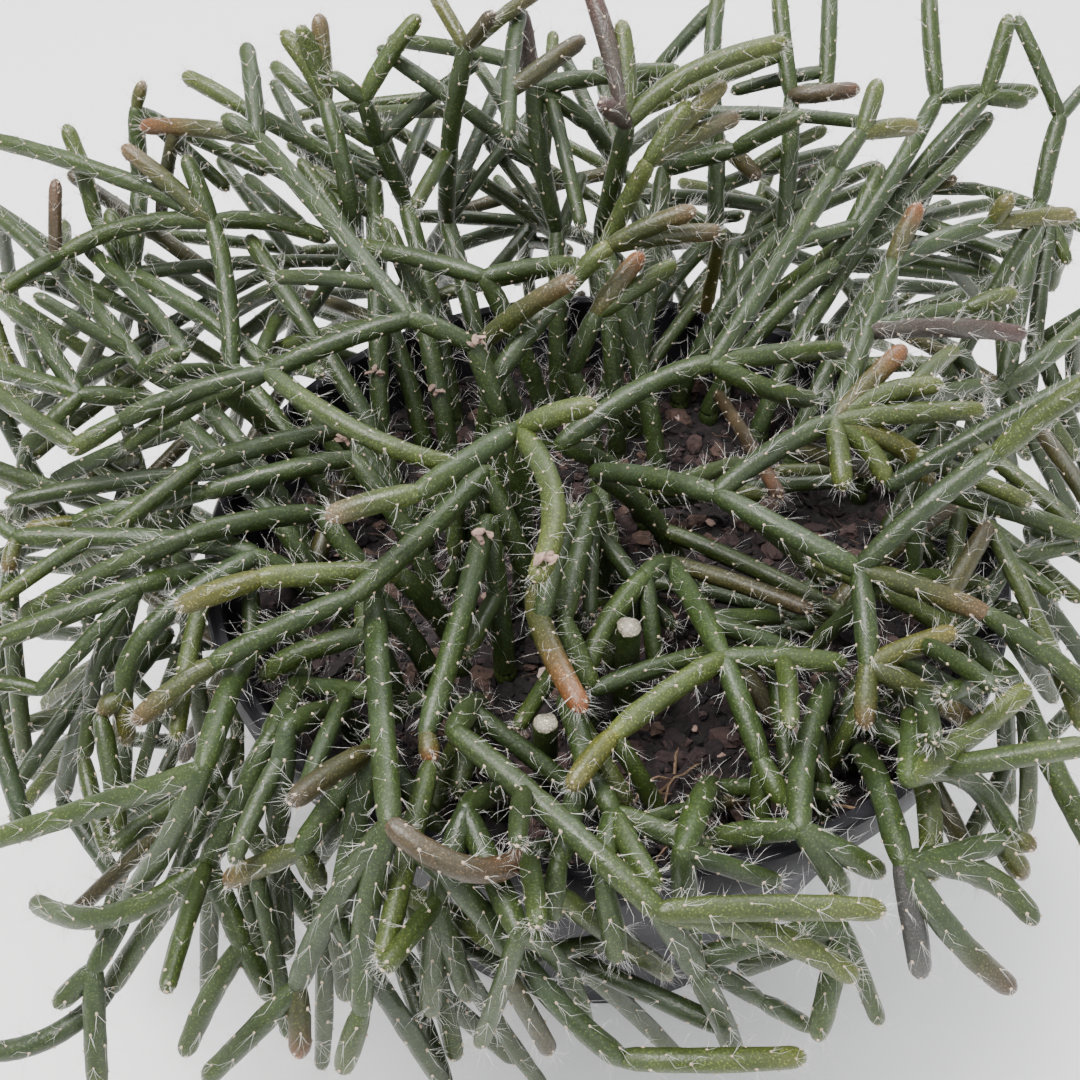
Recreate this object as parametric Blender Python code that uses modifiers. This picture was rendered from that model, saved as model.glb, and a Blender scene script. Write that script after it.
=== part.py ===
"""Mistletoe cactus in a round nursery pot, lengths in millimetres until the meshes are made."""
import math
import random

import bmesh
import bpy
import numpy as np

# Driving dimensions of the pot, from the middle of its flat base
potHeight = 95.0
rimRadius = 72.5
baseRadius = 46.0
wall = 1.3
bandHeight = 9.0
bandOut = 1.6
soilTop = 81.0
soilBump = 1.5
gap = 0.35
mm = 0.001

# Stem sizes
thick = 1.95
stemGap = 0.85
pegFoot = 70.0
pegHead = 84.0

# Stems further up the picture than backStart stand higher by backLift for each pixel
backStart = 250
backLift = 0.085

# The photo's viewpoint: eye, downward angle and focal length in pixels
eye = np.array((-11.85, -175.7, 271.0))
pitch = math.radians(45.6)
focal = 1362.0
middle = 540.0


def at(px, py, z):
    """Point at height z seen at a picture position."""
    ahead = np.array((0.0, math.cos(pitch), -math.sin(pitch)))
    up = np.array((0.0, math.sin(pitch), math.cos(pitch)))
    ray = ahead * focal + np.array((px - middle, 0.0, 0.0)) + up * (middle - py)
    return eye + ray * (z - eye[2]) / ray[2]


# Each spray: its root on the soil (x, y), then joints as (px, py, height[, px, py the stem bows
# through]). A joint's name minus its last letter is the joint it grows from.
sprays = {
    "spray_01": dict(root=(-19, 8), A=(500, 415, 110), AA=(474, 346, 122), AAA=(410, 318, 127),
                     AAAA=(258, 138, 127), AAAAA=(141, 127, 122), AAAAB=(221, 117, 128),
                     AAAAC=(246, 44, 128), AAAB=(268, 372, 120), AAABA=(122, 420, 113),
                     AAABAA=(68, 453, 109), AAABB=(122, 449, 107), AAABC=(452, 463, 115, 362, 434)),
    "spray_02": dict(root=(-15, -5), A=(513, 429, 126), AA=(418, 493, 128), AAA=(325, 518, 125),
                     AB=(597, 404, 131), AC=(534, 582, 127, 552, 500)),
    "spray_03": dict(root=(8, 14), A=(562, 446, 113), AA=(712, 363, 124, 640, 390), AAA=(835, 172, 132),
                     AAAA=(862, 133, 134), AAAAA=(878, 79, 136), AAAAB=(917, 127, 131),
                     AAB=(846, 350, 119), AAC=(815, 400, 113, 765, 388)),
    "spray_04": dict(root=(14, 2), A=(594, 470, 107), AA=(716, 494, 118), AAA=(833, 421, 124, 772, 452),
                     AAAA=(986, 411, 124), AAAB=(944, 386, 128, 890, 392), AAAC=(843, 491, 120),
                     AAAD=(889, 486, 117, 865, 445), AAAE=(928, 487, 113, 905, 450),
                     AAAF=(866, 330, 128), AAAFA=(892, 262, 132), AAAFAA=(920, 203, 136),
                     AAAFAB=(992, 224, 131), AAAFABA=(1076, 216, 130), AAAFABB=(1012, 194, 134),
                     AAAFB=(966, 312, 124), AAAFBA=(1018, 293, 126), AAAFC=(1024, 332, 119),
                     AAAG=(905, 347, 129), AAB=(859, 570, 116, 795, 536), AABA=(996, 454, 131, 925, 508),
                     AABAA=(1112, 370, 145), AABB=(984, 613, 112), AABBA=(1100, 700, 104, 1040, 650),
                     AABC=(867, 668, 109), AABCA=(957, 631, 111, 900, 652), AABCB=(865, 730, 105),
                     AABCC=(968, 731, 99, 915, 695)),
    "spray_05": dict(root=(20, -20), A=(668, 562, 98), AA=(723, 658, 105), AAA=(613, 735, 106),
                     AAAA=(569, 791, 103), AAB=(848, 664, 103), AAC=(762, 759, 100),
                     AACA=(787, 808, 98), AB=(646, 576, 104), ABA=(585, 680, 98, 608, 625)),
    "spray_06": dict(root=(4, 34), A=(600, 236, 117), AA=(628, 125, 133), AAA=(587, -20, 140),
                     AAB=(621, 20, 138), AAC=(600, 102, 138), AAD=(788, 42, 138, 690, 75)),
    "spray_07": dict(root=(12, 26), A=(604, 250, 120), AA=(648, 162, 130), AAA=(690, 100, 134),
                     AAB=(726, 82, 133), AAC=(740, 117, 130, 700, 132)),
    "spray_08": dict(root=(-24, 16), A=(490, 372, 114), AA=(570, 283, 126), AAA=(610, 246, 131),
                     AAAA=(697, 210, 135), AAAB=(722, 232, 130)),
    "spray_09": dict(root=(-12, 20), A=(488, 348, 116), AA=(577, 279, 131, 525, 313)),
    "spray_10": dict(root=(0, 24), A=(572, 372, 108), AA=(595, 315, 118), AAA=(643, 253, 126),
                     AAB=(676, 263, 122)),
    "spray_11": dict(root=(-30, 30), A=(418, 302, 108), AA=(383, 218, 119)),
    "spray_12": dict(root=(-10, 38), A=(484, 277, 119), AA=(350, 245, 117, 416, 258), AB=(583, 264, 119)),
    "spray_13": dict(root=(-22, 42), A=(447, 222, 110), AA=(466, 48, 136, 450, 140),
                     AAA=(425, -22, 138), AAB=(494, 12, 141), AAC=(548, -14, 136)),
    "spray_14": dict(root=(-8, 48), A=(557, 232, 113), AA=(533, 88, 128, 541, 160), AAA=(520, 8, 134),
                     AAB=(590, 125, 123), AABA=(618, 168, 114), AAC=(600, 78, 128), AACA=(682, 72, 127)),
    "spray_15": dict(root=(-36, 36), A=(366, 243, 112), AA=(326, 102, 126, 352, 180), AAA=(319, 13, 133),
                     AAB=(281, 31, 131, 308, 66), AAC=(300, 27, 134, 315, 60)),
    "spray_16": dict(root=(-30, 44), A=(404, 205, 112), AA=(378, 143, 121), AAA=(363, 100, 127),
                     AAAA=(420, 15, 134), AAAB=(328, 74, 129), AAB=(272, 63, 124, 318, 104),
                     AB=(376, 118, 122)),
    "spray_17": dict(root=(-44, 28), A=(362, 182, 114), AA=(243, 108, 121), AAA=(183, 75, 121)),
    "spray_18": dict(root=(-52, 14), A=(232, 368, 104), AA=(212, 222, 119, 226, 285),
                     AAA=(146, 188, 119), AAAA=(-30, 136, 116), AAB=(122, 146, 124),
                     AAC=(60, 257, 113, 130, 226), AAD=(330, 240, 113, 270, 222), AAE=(185, 155, 123)),
    "spray_19": dict(root=(-40, 20), A=(316, 340, 106), AA=(248, 236, 114)),
    "spray_20": dict(root=(-56, 4), A=(185, 395, 100), AA=(142, 368, 106), AAA=(57, 270, 110),
                     AAAA=(-32, 192, 110), AAAB=(56, 179, 118), AAB=(190, 350, 110)),
    "spray_21": dict(root=(-52, -6), A=(150, 402, 99), AA=(80, 395, 104), AAA=(38, 330, 107),
                     AAAA=(-25, 280, 106), AAB=(-32, 364, 103), AAC=(22, 450, 97, 55, 420)),
    "spray_22": dict(root=(-50, 26), A=(130, 275, 107), AA=(100, 222, 112), AAA=(65, 124, 120),
                     AB=(140, 185, 113), ABA=(136, 110, 121), ABAA=(144, 81, 124), AC=(104, 208, 113)),
    "spray_23": dict(root=(-34, 6), A=(338, 430, 103), AA=(200, 464, 105), AAA=(105, 538, 99)),
    "spray_24": dict(root=(-32, -4), A=(352, 458, 101), AA=(206, 492, 101), AAA=(75, 522, 97),
                     AAAA=(25, 530, 96)),
    "spray_25": dict(root=(-48, -12), A=(255, 560, 100), AA=(15, 541, 104, 185, 548),
                     AAA=(-30, 500, 104), AAB=(8, 575, 100), AB=(110, 692, 88, 150, 625),
                     ABA=(100, 716, 85), ABB=(126, 745, 80)),
    "spray_26": dict(root=(-40, -12), A=(319, 514, 101), AA=(190, 541, 105, 255, 525),
                     AAA=(80, 600, 98), AAB=(20, 618, 96)),
    "spray_27": dict(root=(-26, -22), A=(398, 574, 109), AA=(260, 578, 114), AAA=(175, 609, 110)),
    "spray_28": dict(root=(-30, -28), A=(374, 594, 106), AA=(392, 824, 107, 380, 690),
                     AAA=(362, 1010, 82, 367, 915), AAAA=(342, 1072, 70), AAB=(526, 956, 90, 458, 880),
                     AABA=(622, 1058, 74, 572, 1015), AABAA=(805, 1056, 74, 710, 1060),
                     AAC=(297, 986, 80, 335, 905), AACA=(300, 1058, 70), AACB=(204, 1080, 66),
                     AAD=(529, 856, 96, 470, 872)),
    "spray_29": dict(root=(-12, -14), A=(490, 472, 112), AA=(352, 597, 111, 430, 530),
                     AAA=(214, 664, 105), AAAA=(133, 724, 99)),
    "spray_30": dict(root=(-36, -32), A=(372, 640, 97), AA=(246, 692, 95, 300, 662)),
    "spray_31": dict(root=(-58, -1), A=(120, 622, 100, 220, 590), AA=(-32, 648, 98),
                     AB=(40, 690, 92), ABA=(-20, 680, 92), AC=(98, 705, 86), ACA=(84, 760, 78)),
    "spray_32": dict(root=(-22, -34), A=(450, 731, 106), AA=(658, 912, 101, 548, 812),
                     AAA=(886, 910, 101), AAB=(858, 980, 88, 770, 935), AAC=(697, 973, 90),
                     AACA=(737, 1060, 72)),
    "spray_33": dict(root=(-18, -24), A=(488, 519, 106), AA=(434, 738, 102, 464, 618),
                     AAA=(430, 765, 100)),
    "spray_34": dict(root=(-4, -20), A=(536, 592, 107), AA=(584, 712, 111, 547, 640)),
    "spray_35": dict(root=(0, -6), A=(592, 500, 105), AA=(562, 620, 107, 576, 560), AAA=(594, 690, 100)),
    "spray_36": dict(root=(-4, -34), A=(566, 700, 97), AA=(592, 776, 99), AAA=(610, 810, 102),
                     AAAA=(709, 868, 100, 665, 838), AAAB=(669, 886, 99), AAAC=(604, 886, 101),
                     AAACA=(617, 962, 88), AAB=(560, 862, 101), AABA=(544, 930, 92)),
    "spray_37": dict(root=(-44, -36), A=(286, 726, 102), AA=(284, 838, 88), AAA=(286, 960, 70)),
    "spray_38": dict(root=(-38, -44), A=(380, 755, 101), AA=(305, 851, 93), AAA=(224, 882, 86),
                     AAB=(320, 889, 85), AB=(350, 920, 84), ABA=(346, 1000, 70)),
    "spray_39": dict(root=(-54, -24), A=(252, 728, 102), AA=(204, 859, 84, 230, 800),
                     AAA=(110, 990, 60, 165, 905), AAAA=(-20, 1052, 54, 50, 1038),
                     AAB=(34, 899, 68, 110, 912), AAC=(242, 945, 76), AACA=(184, 1056, 60),
                     AACB=(272, 1000, 66)),
    "spray_40": dict(root=(-55, -18), A=(226, 784, 100), AA=(-30, 846, 82, 115, 806),
                     AB=(130, 904, 74, 172, 855), ABA=(93, 968, 66), ABAA=(98, 1104, 46, 94, 1040),
                     ABAB=(56, 1009, 61)),
    "spray_41": dict(root=(44, -36), A=(879, 706, 101), AA=(907, 764, 101), AAA=(926, 884, 92)),
    "spray_42": dict(root=(36, -34), A=(828, 684, 100), AA=(797, 838, 99, 803, 760), AAA=(884, 874, 94),
                     AAB=(835, 885, 90), AAC=(700, 862, 92, 760, 850)),
    "spray_43": dict(root=(50, -30), A=(905, 775, 103), AA=(1029, 687, 105, 968, 734),
                     AB=(1012, 838, 92, 962, 775), ABA=(1036, 848, 91)),
    "spray_44": dict(root=(40, -43), A=(905, 880, 98), AA=(1014, 990, 82, 955, 940),
                     AB=(1000, 842, 95, 950, 860), ABA=(1025, 878, 90), AC=(1036, 925, 88, 985, 880),
                     AD=(921, 978, 84)),
    "spray_45": dict(root=(58, -6), A=(962, 640, 100), AA=(1014, 680, 103), AAA=(1112, 880, 88, 1052, 765),
                     AB=(1010, 560, 104, 985, 600), ABA=(1112, 540, 106), ABB=(1060, 600, 102)),
    "spray_46": dict(root=(34, 40), A=(868, 235, 108), AA=(984, 98, 120, 922, 166), AAA=(1009, 14, 127),
                     AAB=(1026, 104, 119), AB=(992, 112, 118, 940, 172)),
    "spray_47": dict(root=(52, 22), A=(1004, 386, 107), AA=(1040, 205, 118, 1022, 290),
                     AAA=(1060, 118, 123), AAAA=(1016, 16, 129), AAAB=(1108, 70, 121),
                     AB=(1108, 300, 112, 1060, 345), AAB=(1068, 265, 114)),
    "spray_48": dict(root=(24, 46), A=(836, 262, 108), AA=(937, 98, 118, 890, 182), AAA=(929, -24, 125),
                     AAB=(1038, 93, 117), AB=(882, 164, 116)),
    "spray_49": dict(root=(18, 50), A=(782, 232, 108), AA=(791, 96, 119), AAA=(778, -24, 125),
                     AAB=(860, 89, 121, 815, 94), AAC=(826, 90, 118), AACA=(830, -26, 124)),
    "spray_50": dict(root=(2, 50), A=(716, 232, 106), AA=(718, 143, 114), AAA=(722, -24, 124, 712, 60),
                     AAB=(760, 180, 112)),
    "spray_51": dict(root=(8, 42), A=(664, 170, 116), AA=(735, 150, 121), AAA=(806, 115, 126)),
    "spray_52": dict(root=(40, 32), A=(905, 240, 103), AA=(930, 190, 108), AAA=(957, 178, 111),
                     AAB=(985, 190, 109), AABA=(1108, 240, 105), AB=(1000, 300, 103, 985, 260)),
    "spray_53": dict(root=(-18, -52), A=(470, 815, 102), AA=(440, 900, 96), AAA=(430, 1015, 74),
                     AAB=(470, 1000, 76), AB=(520, 925, 95), ABA=(588, 1032, 74, 565, 960),
                     ABB=(480, 1045, 72)),
    "spray_54": dict(root=(16, -50), A=(672, 850, 102), AA=(690, 955, 86), AAA=(760, 1000, 76),
                     AAAA=(815, 1030, 71), AAB=(842, 925, 88), AABA=(880, 1024, 72),
                     AABB=(815, 1040, 71)),
    "spray_55": dict(root=(27, 51), A=(732, 251, 107), AA=(748, 241, 95), AAA=(747, 298, 70),
                     AAB=(840, 276, 82), AABA=(877, 325, 66), AAC=(662, 245, 84)),
    "spray_56": dict(root=(-8, 56), A=(558, 236, 108), AA=(531, 223, 96), AAA=(516, 284, 70),
                     AAB=(612, 250, 80), AAC=(432, 255, 84), AACA=(398, 297, 66)),
}
stubs = {"stub_01": ((2.5, -32.5), 105.0, 1.95), "stub_02": ((-11.0, -47.0), 99.0, 1.95)}
thin = {"spray_22": "ABAA", "spray_20": "AAAB", "spray_13": "AAA AAB AAC", "spray_47": "AAAA AAAB AAB",
        "spray_52": "AA AAA AAB AABA AB", "spray_31": "AB ABA AC ACA", "spray_45": "AB ABA ABB",
        "spray_54": "AAA AAAA AABA", "spray_53": "ABA ABB", "spray_24": "AAAA", "spray_25": "AAA AAB"}


class Skeleton:
    """Control points and stem segments of all sprays, bent clear of each other."""

    def __init__(self):
        self.points, self.fixed, self.segments = [], [], []
        self.rng = random.Random(1936)
        for name, joints in sprays.items():
            self.addSpray(name, joints)
        for name, ((x, y), top, radius) in stubs.items():
            foot = self.point((x, y, pegFoot), True)
            head = self.point((x, y, top), True)
            centre = self.point((x, y, (pegFoot + top) / 2), True)
            self.segments.append(dict(spray=name, key="", at=(foot, centre, head), r=radius, peg=True,
                                      tip=True))
        self.points = np.array(self.points)
        self.fixed = np.array(self.fixed)

    def point(self, place, fixed=False):
        self.points.append(np.array(place, float))
        self.fixed.append(fixed)
        return len(self.points) - 1

    def addSpray(self, name, joints):
        x, y = joints["root"]
        foot = self.point((x, y, pegFoot), True)
        neck = self.point((x, y, pegHead), True)
        centre = self.point((x, y, (pegFoot + pegHead) / 2), True)
        self.segments.append(dict(spray=name, key="", at=(foot, centre, neck), r=thick, peg=True, tip=False))
        index = {"": neck}
        for key in sorted(k for k in joints if k != "root"):
            value = joints[key]
            value = (*value[:2], value[2] + (name < "spray_55") * backLift * max(0, backStart - value[1]), *value[3:])
            index[key] = self.point(at(*value[:3]))
            start, end = self.points[index[key[:-1]]], self.points[index[key]]
            length = np.linalg.norm(end - start)
            if len(key) == 1 and len(value) == 3:
                bow = np.array((start[0], start[1], start[2] + 0.5 * length)) * 0.55 + (start + end) * 0.225
            elif len(value) == 5:
                through = at(value[3], value[4], (start[2] + end[2]) / 2 + 0.03 * length)
                bow = 2 * through - (start + end) / 2
            else:
                side = self.rng.uniform(-0.05, 0.05) * length
                bow = (start + end) / 2 + np.array((side, -side * 0.3, 0.06 * length))
            radius = thick - 0.05 * min(len(key), 4) - (0.4 if key in thin.get(name, "").split() else 0)
            last = not any(k[:-1] == key for k in joints if k != "root")
            self.segments.append(dict(spray=name, key=key, r=radius, peg=False, tip=last,
                                      at=(index[key[:-1]], self.point(bow), index[key])))

    def curve(self, segment, t):
        a, b, c = (self.points[i] for i in segment["at"])
        t = np.asarray(t, float)[:, None]
        return (1 - t) ** 2 * a + 2 * t * (1 - t) * b + t ** 2 * c

    def clear(self, rounds=260):
        """Bend stems apart along the line of sight where they can, sideways where they cannot."""
        spans = 7
        edge = np.linspace(0, 1, spans + 1)
        count = len(self.segments)
        ends = np.array([s["at"] for s in self.segments])
        radii = np.array([s["r"] for s in self.segments])
        pegs = np.array([s["peg"] for s in self.segments])
        basis = np.stack([(1 - edge) ** 2, 2 * edge * (1 - edge), edge ** 2], 1)
        owner = np.repeat(np.arange(count), spans)
        shared = (ends[:, None, [0, 0, 2, 2]] == ends[None, :, [0, 2, 0, 2]]).any(2)
        pairs = None
        for turn in range(rounds):
            line = np.einsum("kb,sbd->skd", basis, self.points[ends])
            first, last = line[:, :-1].reshape(-1, 3), line[:, 1:].reshape(-1, 3)
            if turn % 8 == 0:
                mid = (first + last) / 2
                half = np.linalg.norm(last - first, axis=1) / 2
                dist = np.linalg.norm(mid[:, None] - mid[None], axis=2)
                reach = half[:, None] + half[None] + 2 * thick + 3.0
                i, j = np.nonzero(np.triu(dist < reach, 1))
                keep = (owner[i] != owner[j]) & ~shared[owner[i], owner[j]]
                pairs = i[keep], j[keep]
            i, j = pairs
            p, q, s, t = nearest(first[i], last[i], first[j], last[j])
            away = p - q
            dist = np.linalg.norm(away, axis=1)
            need = radii[owner[i]] + radii[owner[j]] + stemGap - dist
            bad = need > 0
            push = np.zeros_like(self.points)
            self.worst = float(need.max())
            self.left = [(self.segments[owner[a]], self.segments[owner[b]], n) for a, b, n in
                         zip(i[bad], j[bad], need[bad])]
            if bad.any():
                i, j, s, t = i[bad], j[bad], s[bad], t[bad]
                way = away[bad] / np.maximum(dist[bad], 1e-6)[:, None]
                sight = (p[bad] + q[bad]) / 2 - eye
                sight /= np.linalg.norm(sight, axis=1)[:, None]
                along = (way * sight).sum(1)
                flat = dist[bad] < 0.05
                along[flat] = 1.0
                use = np.abs(along) > 0.3
                move = np.where(use[:, None], sight * np.sign(along)[:, None] / np.abs(along)[:, None], way)
                move *= (need[bad] * 0.5 + 0.02)[:, None]
                for k, u, sign in ((i, s, 1.0), (j, t, -1.0)):
                    where = (k % spans + u) / spans
                    weight = np.stack([(1 - where) ** 2, 2 * where * (1 - where), where ** 2], 1)
                    free = ~self.fixed[ends[owner[k]]]
                    weight *= free
                    total = np.maximum((weight ** 2).sum(1), 0.15)
                    for c in range(3):
                        np.add.at(push, ends[owner[k], c], sign * move * (weight[:, c] / total)[:, None] * 0.5)
            for point in np.linspace(0, 1, 15):
                weight = np.array([(1 - point) ** 2, 2 * point * (1 - point), point ** 2])
                here = np.einsum("b,sbd->sd", weight, self.points[ends])
                self.keepOff(here, weight, ends, radii, pegs, push, point)
            size = np.linalg.norm(push, axis=1)
            push *= np.minimum(1.0, 1.6 / np.maximum(size, 1e-9))[:, None]
            push[self.fixed] = 0
            self.points += push
            if not bad.any() and size.max() < 0.03:
                break

    def keepOff(self, here, weights, ends, radii, pegs, push, point):
        """Keep stem points over the soil, off the pot's wall and over the floor."""
        out = np.hypot(here[:, 0], here[:, 1])
        radial = here[:, :2] / np.maximum(out, 1e-6)[:, None]
        necks = self.fixed[ends[:, 0]] & ~pegs
        shift = np.zeros_like(here)
        low = soilTop + soilBump + 0.8 + radii - here[:, 2]
        inside = (out < rimRadius - 1) & (low > 0) & ~(necks & (point < 0.3))
        shift[inside, 2] += low[inside]
        floor = 5 + radii - here[:, 2]
        shift[floor > 0, 2] += floor[floor > 0]
        for (r0, z0), (r1, z1), half in (((baseRadius, 0), (rimRadius - 2, potHeight - bandHeight), 1.2),
                                         ((rimRadius, potHeight - bandHeight), (rimRadius, potHeight - 1), 2.2)):
            axis = np.array((r1 - r0, z1 - z0))
            rel = np.stack([out - r0, here[:, 2] - z0], 1)
            u = np.clip((rel @ axis) / (axis @ axis), 0, 1)
            off = rel - u[:, None] * axis
            dist = np.linalg.norm(off, axis=1)
            need = half + radii + 0.9 - dist
            hit = (need > 0) & ~pegs
            step = off[hit] / np.maximum(dist[hit], 1e-6)[:, None] * need[hit][:, None]
            shift[hit, 0] += radial[hit, 0] * step[:, 0]
            shift[hit, 1] += radial[hit, 1] * step[:, 0]
            shift[hit, 2] += step[:, 1]
        free = ~self.fixed[ends]
        weight = weights[None] * free
        total = np.maximum((weight ** 2).sum(1), 0.15)
        for c in range(3):
            np.add.at(push, ends[:, c], shift * (weight[:, c] / total)[:, None] * 0.5)


def nearest(a, b, c, d):
    """Nearest points of the pieces a-b and c-d, row by row."""
    u, v, w = b - a, d - c, a - c
    uu, uv, vv = (u * u).sum(1), (u * v).sum(1), (v * v).sum(1)
    uw, vw = (u * w).sum(1), (v * w).sum(1)
    det = np.maximum(uu * vv - uv * uv, 1e-9)
    s = np.clip((uv * vw - vv * uw) / det, 0, 1)
    t = np.clip((uv * s + vw) / np.maximum(vv, 1e-9), 0, 1)
    s = np.clip((uv * t - uw) / np.maximum(uu, 1e-9), 0, 1)
    return a + s[:, None] * u, c + t[:, None] * v, s, t


def collection(name, hidden=False):
    made = bpy.data.collections.new(name)
    bpy.context.scene.collection.children.link(made)
    made.hide_render = hidden
    return made


def material(name, colour, rough):
    made = bpy.data.materials.new(name)
    made.use_nodes = True
    shader = made.node_tree.nodes["Principled BSDF"]
    shader.inputs["Base Color"].default_value = (*colour, 1)
    shader.inputs["Roughness"].default_value = rough
    made.diffuse_color = (*colour, 1)
    return made


def take(name, mesh, where):
    body = bpy.data.objects.new(name, mesh)
    where.objects.link(body)
    return body


def turned(name, profile, sides, where):
    """A body turned about Z from (radius, height) pairs given from the top down its outer side."""
    mesh = bpy.data.meshes.new(name)
    mesh.from_pydata([(r * mm, 0, z * mm) for r, z in profile], [(i, i + 1) for i in range(len(profile) - 1)], [])
    body = take(name, mesh, where)
    screw = body.modifiers.new("turn", "SCREW")
    screw.steps = screw.render_steps = sides
    screw.use_merge_vertices = True
    screw.merge_threshold = 0.00002
    screw.use_smooth_shade = False
    return apply(body)


def apply(body):
    bpy.context.view_layer.update()
    done = bpy.data.meshes.new_from_object(body.evaluated_get(bpy.context.evaluated_depsgraph_get()))
    body.modifiers.clear()
    old = body.data
    body.data = done
    done.name = body.name
    bpy.data.meshes.remove(old)
    return body


def closed(mesh):
    """Whether every edge has two faces and the body is in one piece."""
    work = bmesh.new()
    work.from_mesh(mesh)
    good = all(e.is_manifold for e in work.edges) and len(work.faces) > 8
    seen, stack = set(), [work.verts[:][0]] if work.verts else []
    while stack:
        vert = stack.pop()
        if vert not in seen:
            seen.add(vert)
            stack.extend(e.other_vert(vert) for e in vert.link_edges)
    good = good and len(seen) == len(work.verts)
    work.free()
    return good


def join(body, others, operation):
    """One Boolean with a whole collection, then the collection's objects are removed."""
    for solver in ("EXACT", "MANIFOLD"):
        cut = body.modifiers.new("join", "BOOLEAN")
        cut.operation = operation
        cut.operand_type = "COLLECTION"
        cut.collection = others
        cut.solver = solver
        if solver == "EXACT":
            cut.use_self = operation == "UNION"
        bpy.context.view_layer.update()
        done = bpy.data.meshes.new_from_object(body.evaluated_get(bpy.context.evaluated_depsgraph_get()))
        body.modifiers.clear()
        if closed(done):
            break
        print("join again", body.name, solver)
    body.data = done
    done.name = body.name
    for helper in list(others.objects):
        bpy.data.objects.remove(helper)
    return body


def stem(name, line, radii, roll, where):
    """A five-sided stem along a line, as a bevelled curve turned to a closed mesh."""
    data = bpy.data.curves.new(name, "CURVE")
    data.dimensions = "3D"
    data.bevel_mode = "OBJECT"
    data.bevel_object = bpy.data.objects["stem_section"]
    data.use_fill_caps = True
    spline = data.splines.new("POLY")
    spline.points.add(len(line) - 1)
    for point, place, radius in zip(spline.points, line, radii):
        point.co = (*(place * mm), 1)
        point.radius = radius
        point.tilt = roll
    curve = bpy.data.objects.new(name, data)
    where.objects.link(curve)
    bpy.context.view_layer.update()
    mesh = bpy.data.meshes.new_from_object(curve.evaluated_get(bpy.context.evaluated_depsgraph_get()))
    bpy.data.objects.remove(curve)
    work = bmesh.new()
    work.from_mesh(mesh)
    bmesh.ops.remove_doubles(work, verts=work.verts, dist=0.00001)
    bmesh.ops.recalc_face_normals(work, faces=work.faces)
    work.to_mesh(mesh)
    work.free()
    return take(name, mesh, where)


def stemSection(where):
    """The five-sided section that every stem curve is bevelled with."""
    data = bpy.data.curves.new("stem_section", "CURVE")
    data.dimensions = "2D"
    spline = data.splines.new("POLY")
    spline.points.add(4)
    spline.use_cyclic_u = True
    for k, point in enumerate(spline.points):
        turn = 2 * math.pi * k / 5
        point.co = (math.cos(turn) * 1.06 * mm, math.sin(turn) * 1.06 * mm, 0, 1)
    section = bpy.data.objects.new("stem_section", data)
    where.objects.link(section)
    section.hide_render = True
    section.display_type = "WIRE"


def chains(skeleton, name):
    """The spray's stems as runs: each goes on through the straightest stem at every joint."""
    own = {s["key"]: s for s in skeleton.segments if s["spray"] == name}
    heading = {}
    for key, segment in own.items():
        line = skeleton.curve(segment, (0.0, 0.2, 0.8, 1.0))
        heading[key] = [d / np.linalg.norm(d) for d in (line[1] - line[0], line[3] - line[2])]
    runs, starts = [], [""]
    while starts:
        run = [starts.pop()]
        while True:
            grown = [k for k in own if k and k[:-1] == run[-1]]
            if not grown:
                break
            turns = {k: float(heading[run[-1]][1] @ heading[k][0]) for k in grown}
            best = max(grown, key=lambda k: turns[k]) if run[-1] else grown[0]
            going = turns[best] > 0.35 or not run[-1]
            starts += [k for k in grown if k != best or not going]
            if not going:
                break
            run.append(best)
        runs.append([own[k] for k in run])
    return runs


def makeSpray(name, skeleton, rng, parts, helpers):
    body = None
    for run in chains(skeleton, name):
        line, widths = [], []
        for n, segment in enumerate(run):
            a, b, c = (skeleton.points[k] for k in segment["at"])
            r = segment["r"]
            if segment["peg"]:
                line, widths = [a, c], [r, r if segment["tip"] else 0.92 * r]
                continue
            bow = np.linalg.norm(b - (a + c) / 2) / 2
            samples = list(skeleton.curve(segment, np.linspace(0, 1, max(3, math.ceil(math.sqrt(bow / 0.55)) + 1))))
            if n == 0:
                samples[0] = a - (samples[1] - a) / np.linalg.norm(samples[1] - a) * 0.5 * r
                line, widths = [samples[0]], [0.85 * r]
            line += samples[1:]
            widths += [r] * (len(samples) - 2) + [0.9 * r]
        if not run[-1]["peg"]:
            if run[-1]["tip"]:
                widths[-1] = 0.7 * run[-1]["r"]
            else:
                line[-1] = line[-1] + (line[-1] - line[-2]) / np.linalg.norm(line[-1] - line[-2]) * 0.5 * r
        piece = stem(name if body is None else "stem", line, widths, rng.uniform(0, 1.0),
                     parts if body is None else helpers)
        body = body or piece
    if helpers.objects:
        join(body, helpers, "UNION")
    return body


def hole(x, y, radius, low, high, sides, where, roll=0.0):
    bpy.ops.mesh.primitive_cylinder_add(vertices=sides, radius=radius * mm, depth=(high - low) * mm,
                                        location=(x * mm, y * mm, (low + high) / 2 * mm), rotation=(0, 0, roll))
    made = bpy.context.object
    for old in made.users_collection[:]:
        old.objects.unlink(made)
    where.objects.link(made)
    made.display_type = "WIRE"
    made.hide_render = True
    return made


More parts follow.
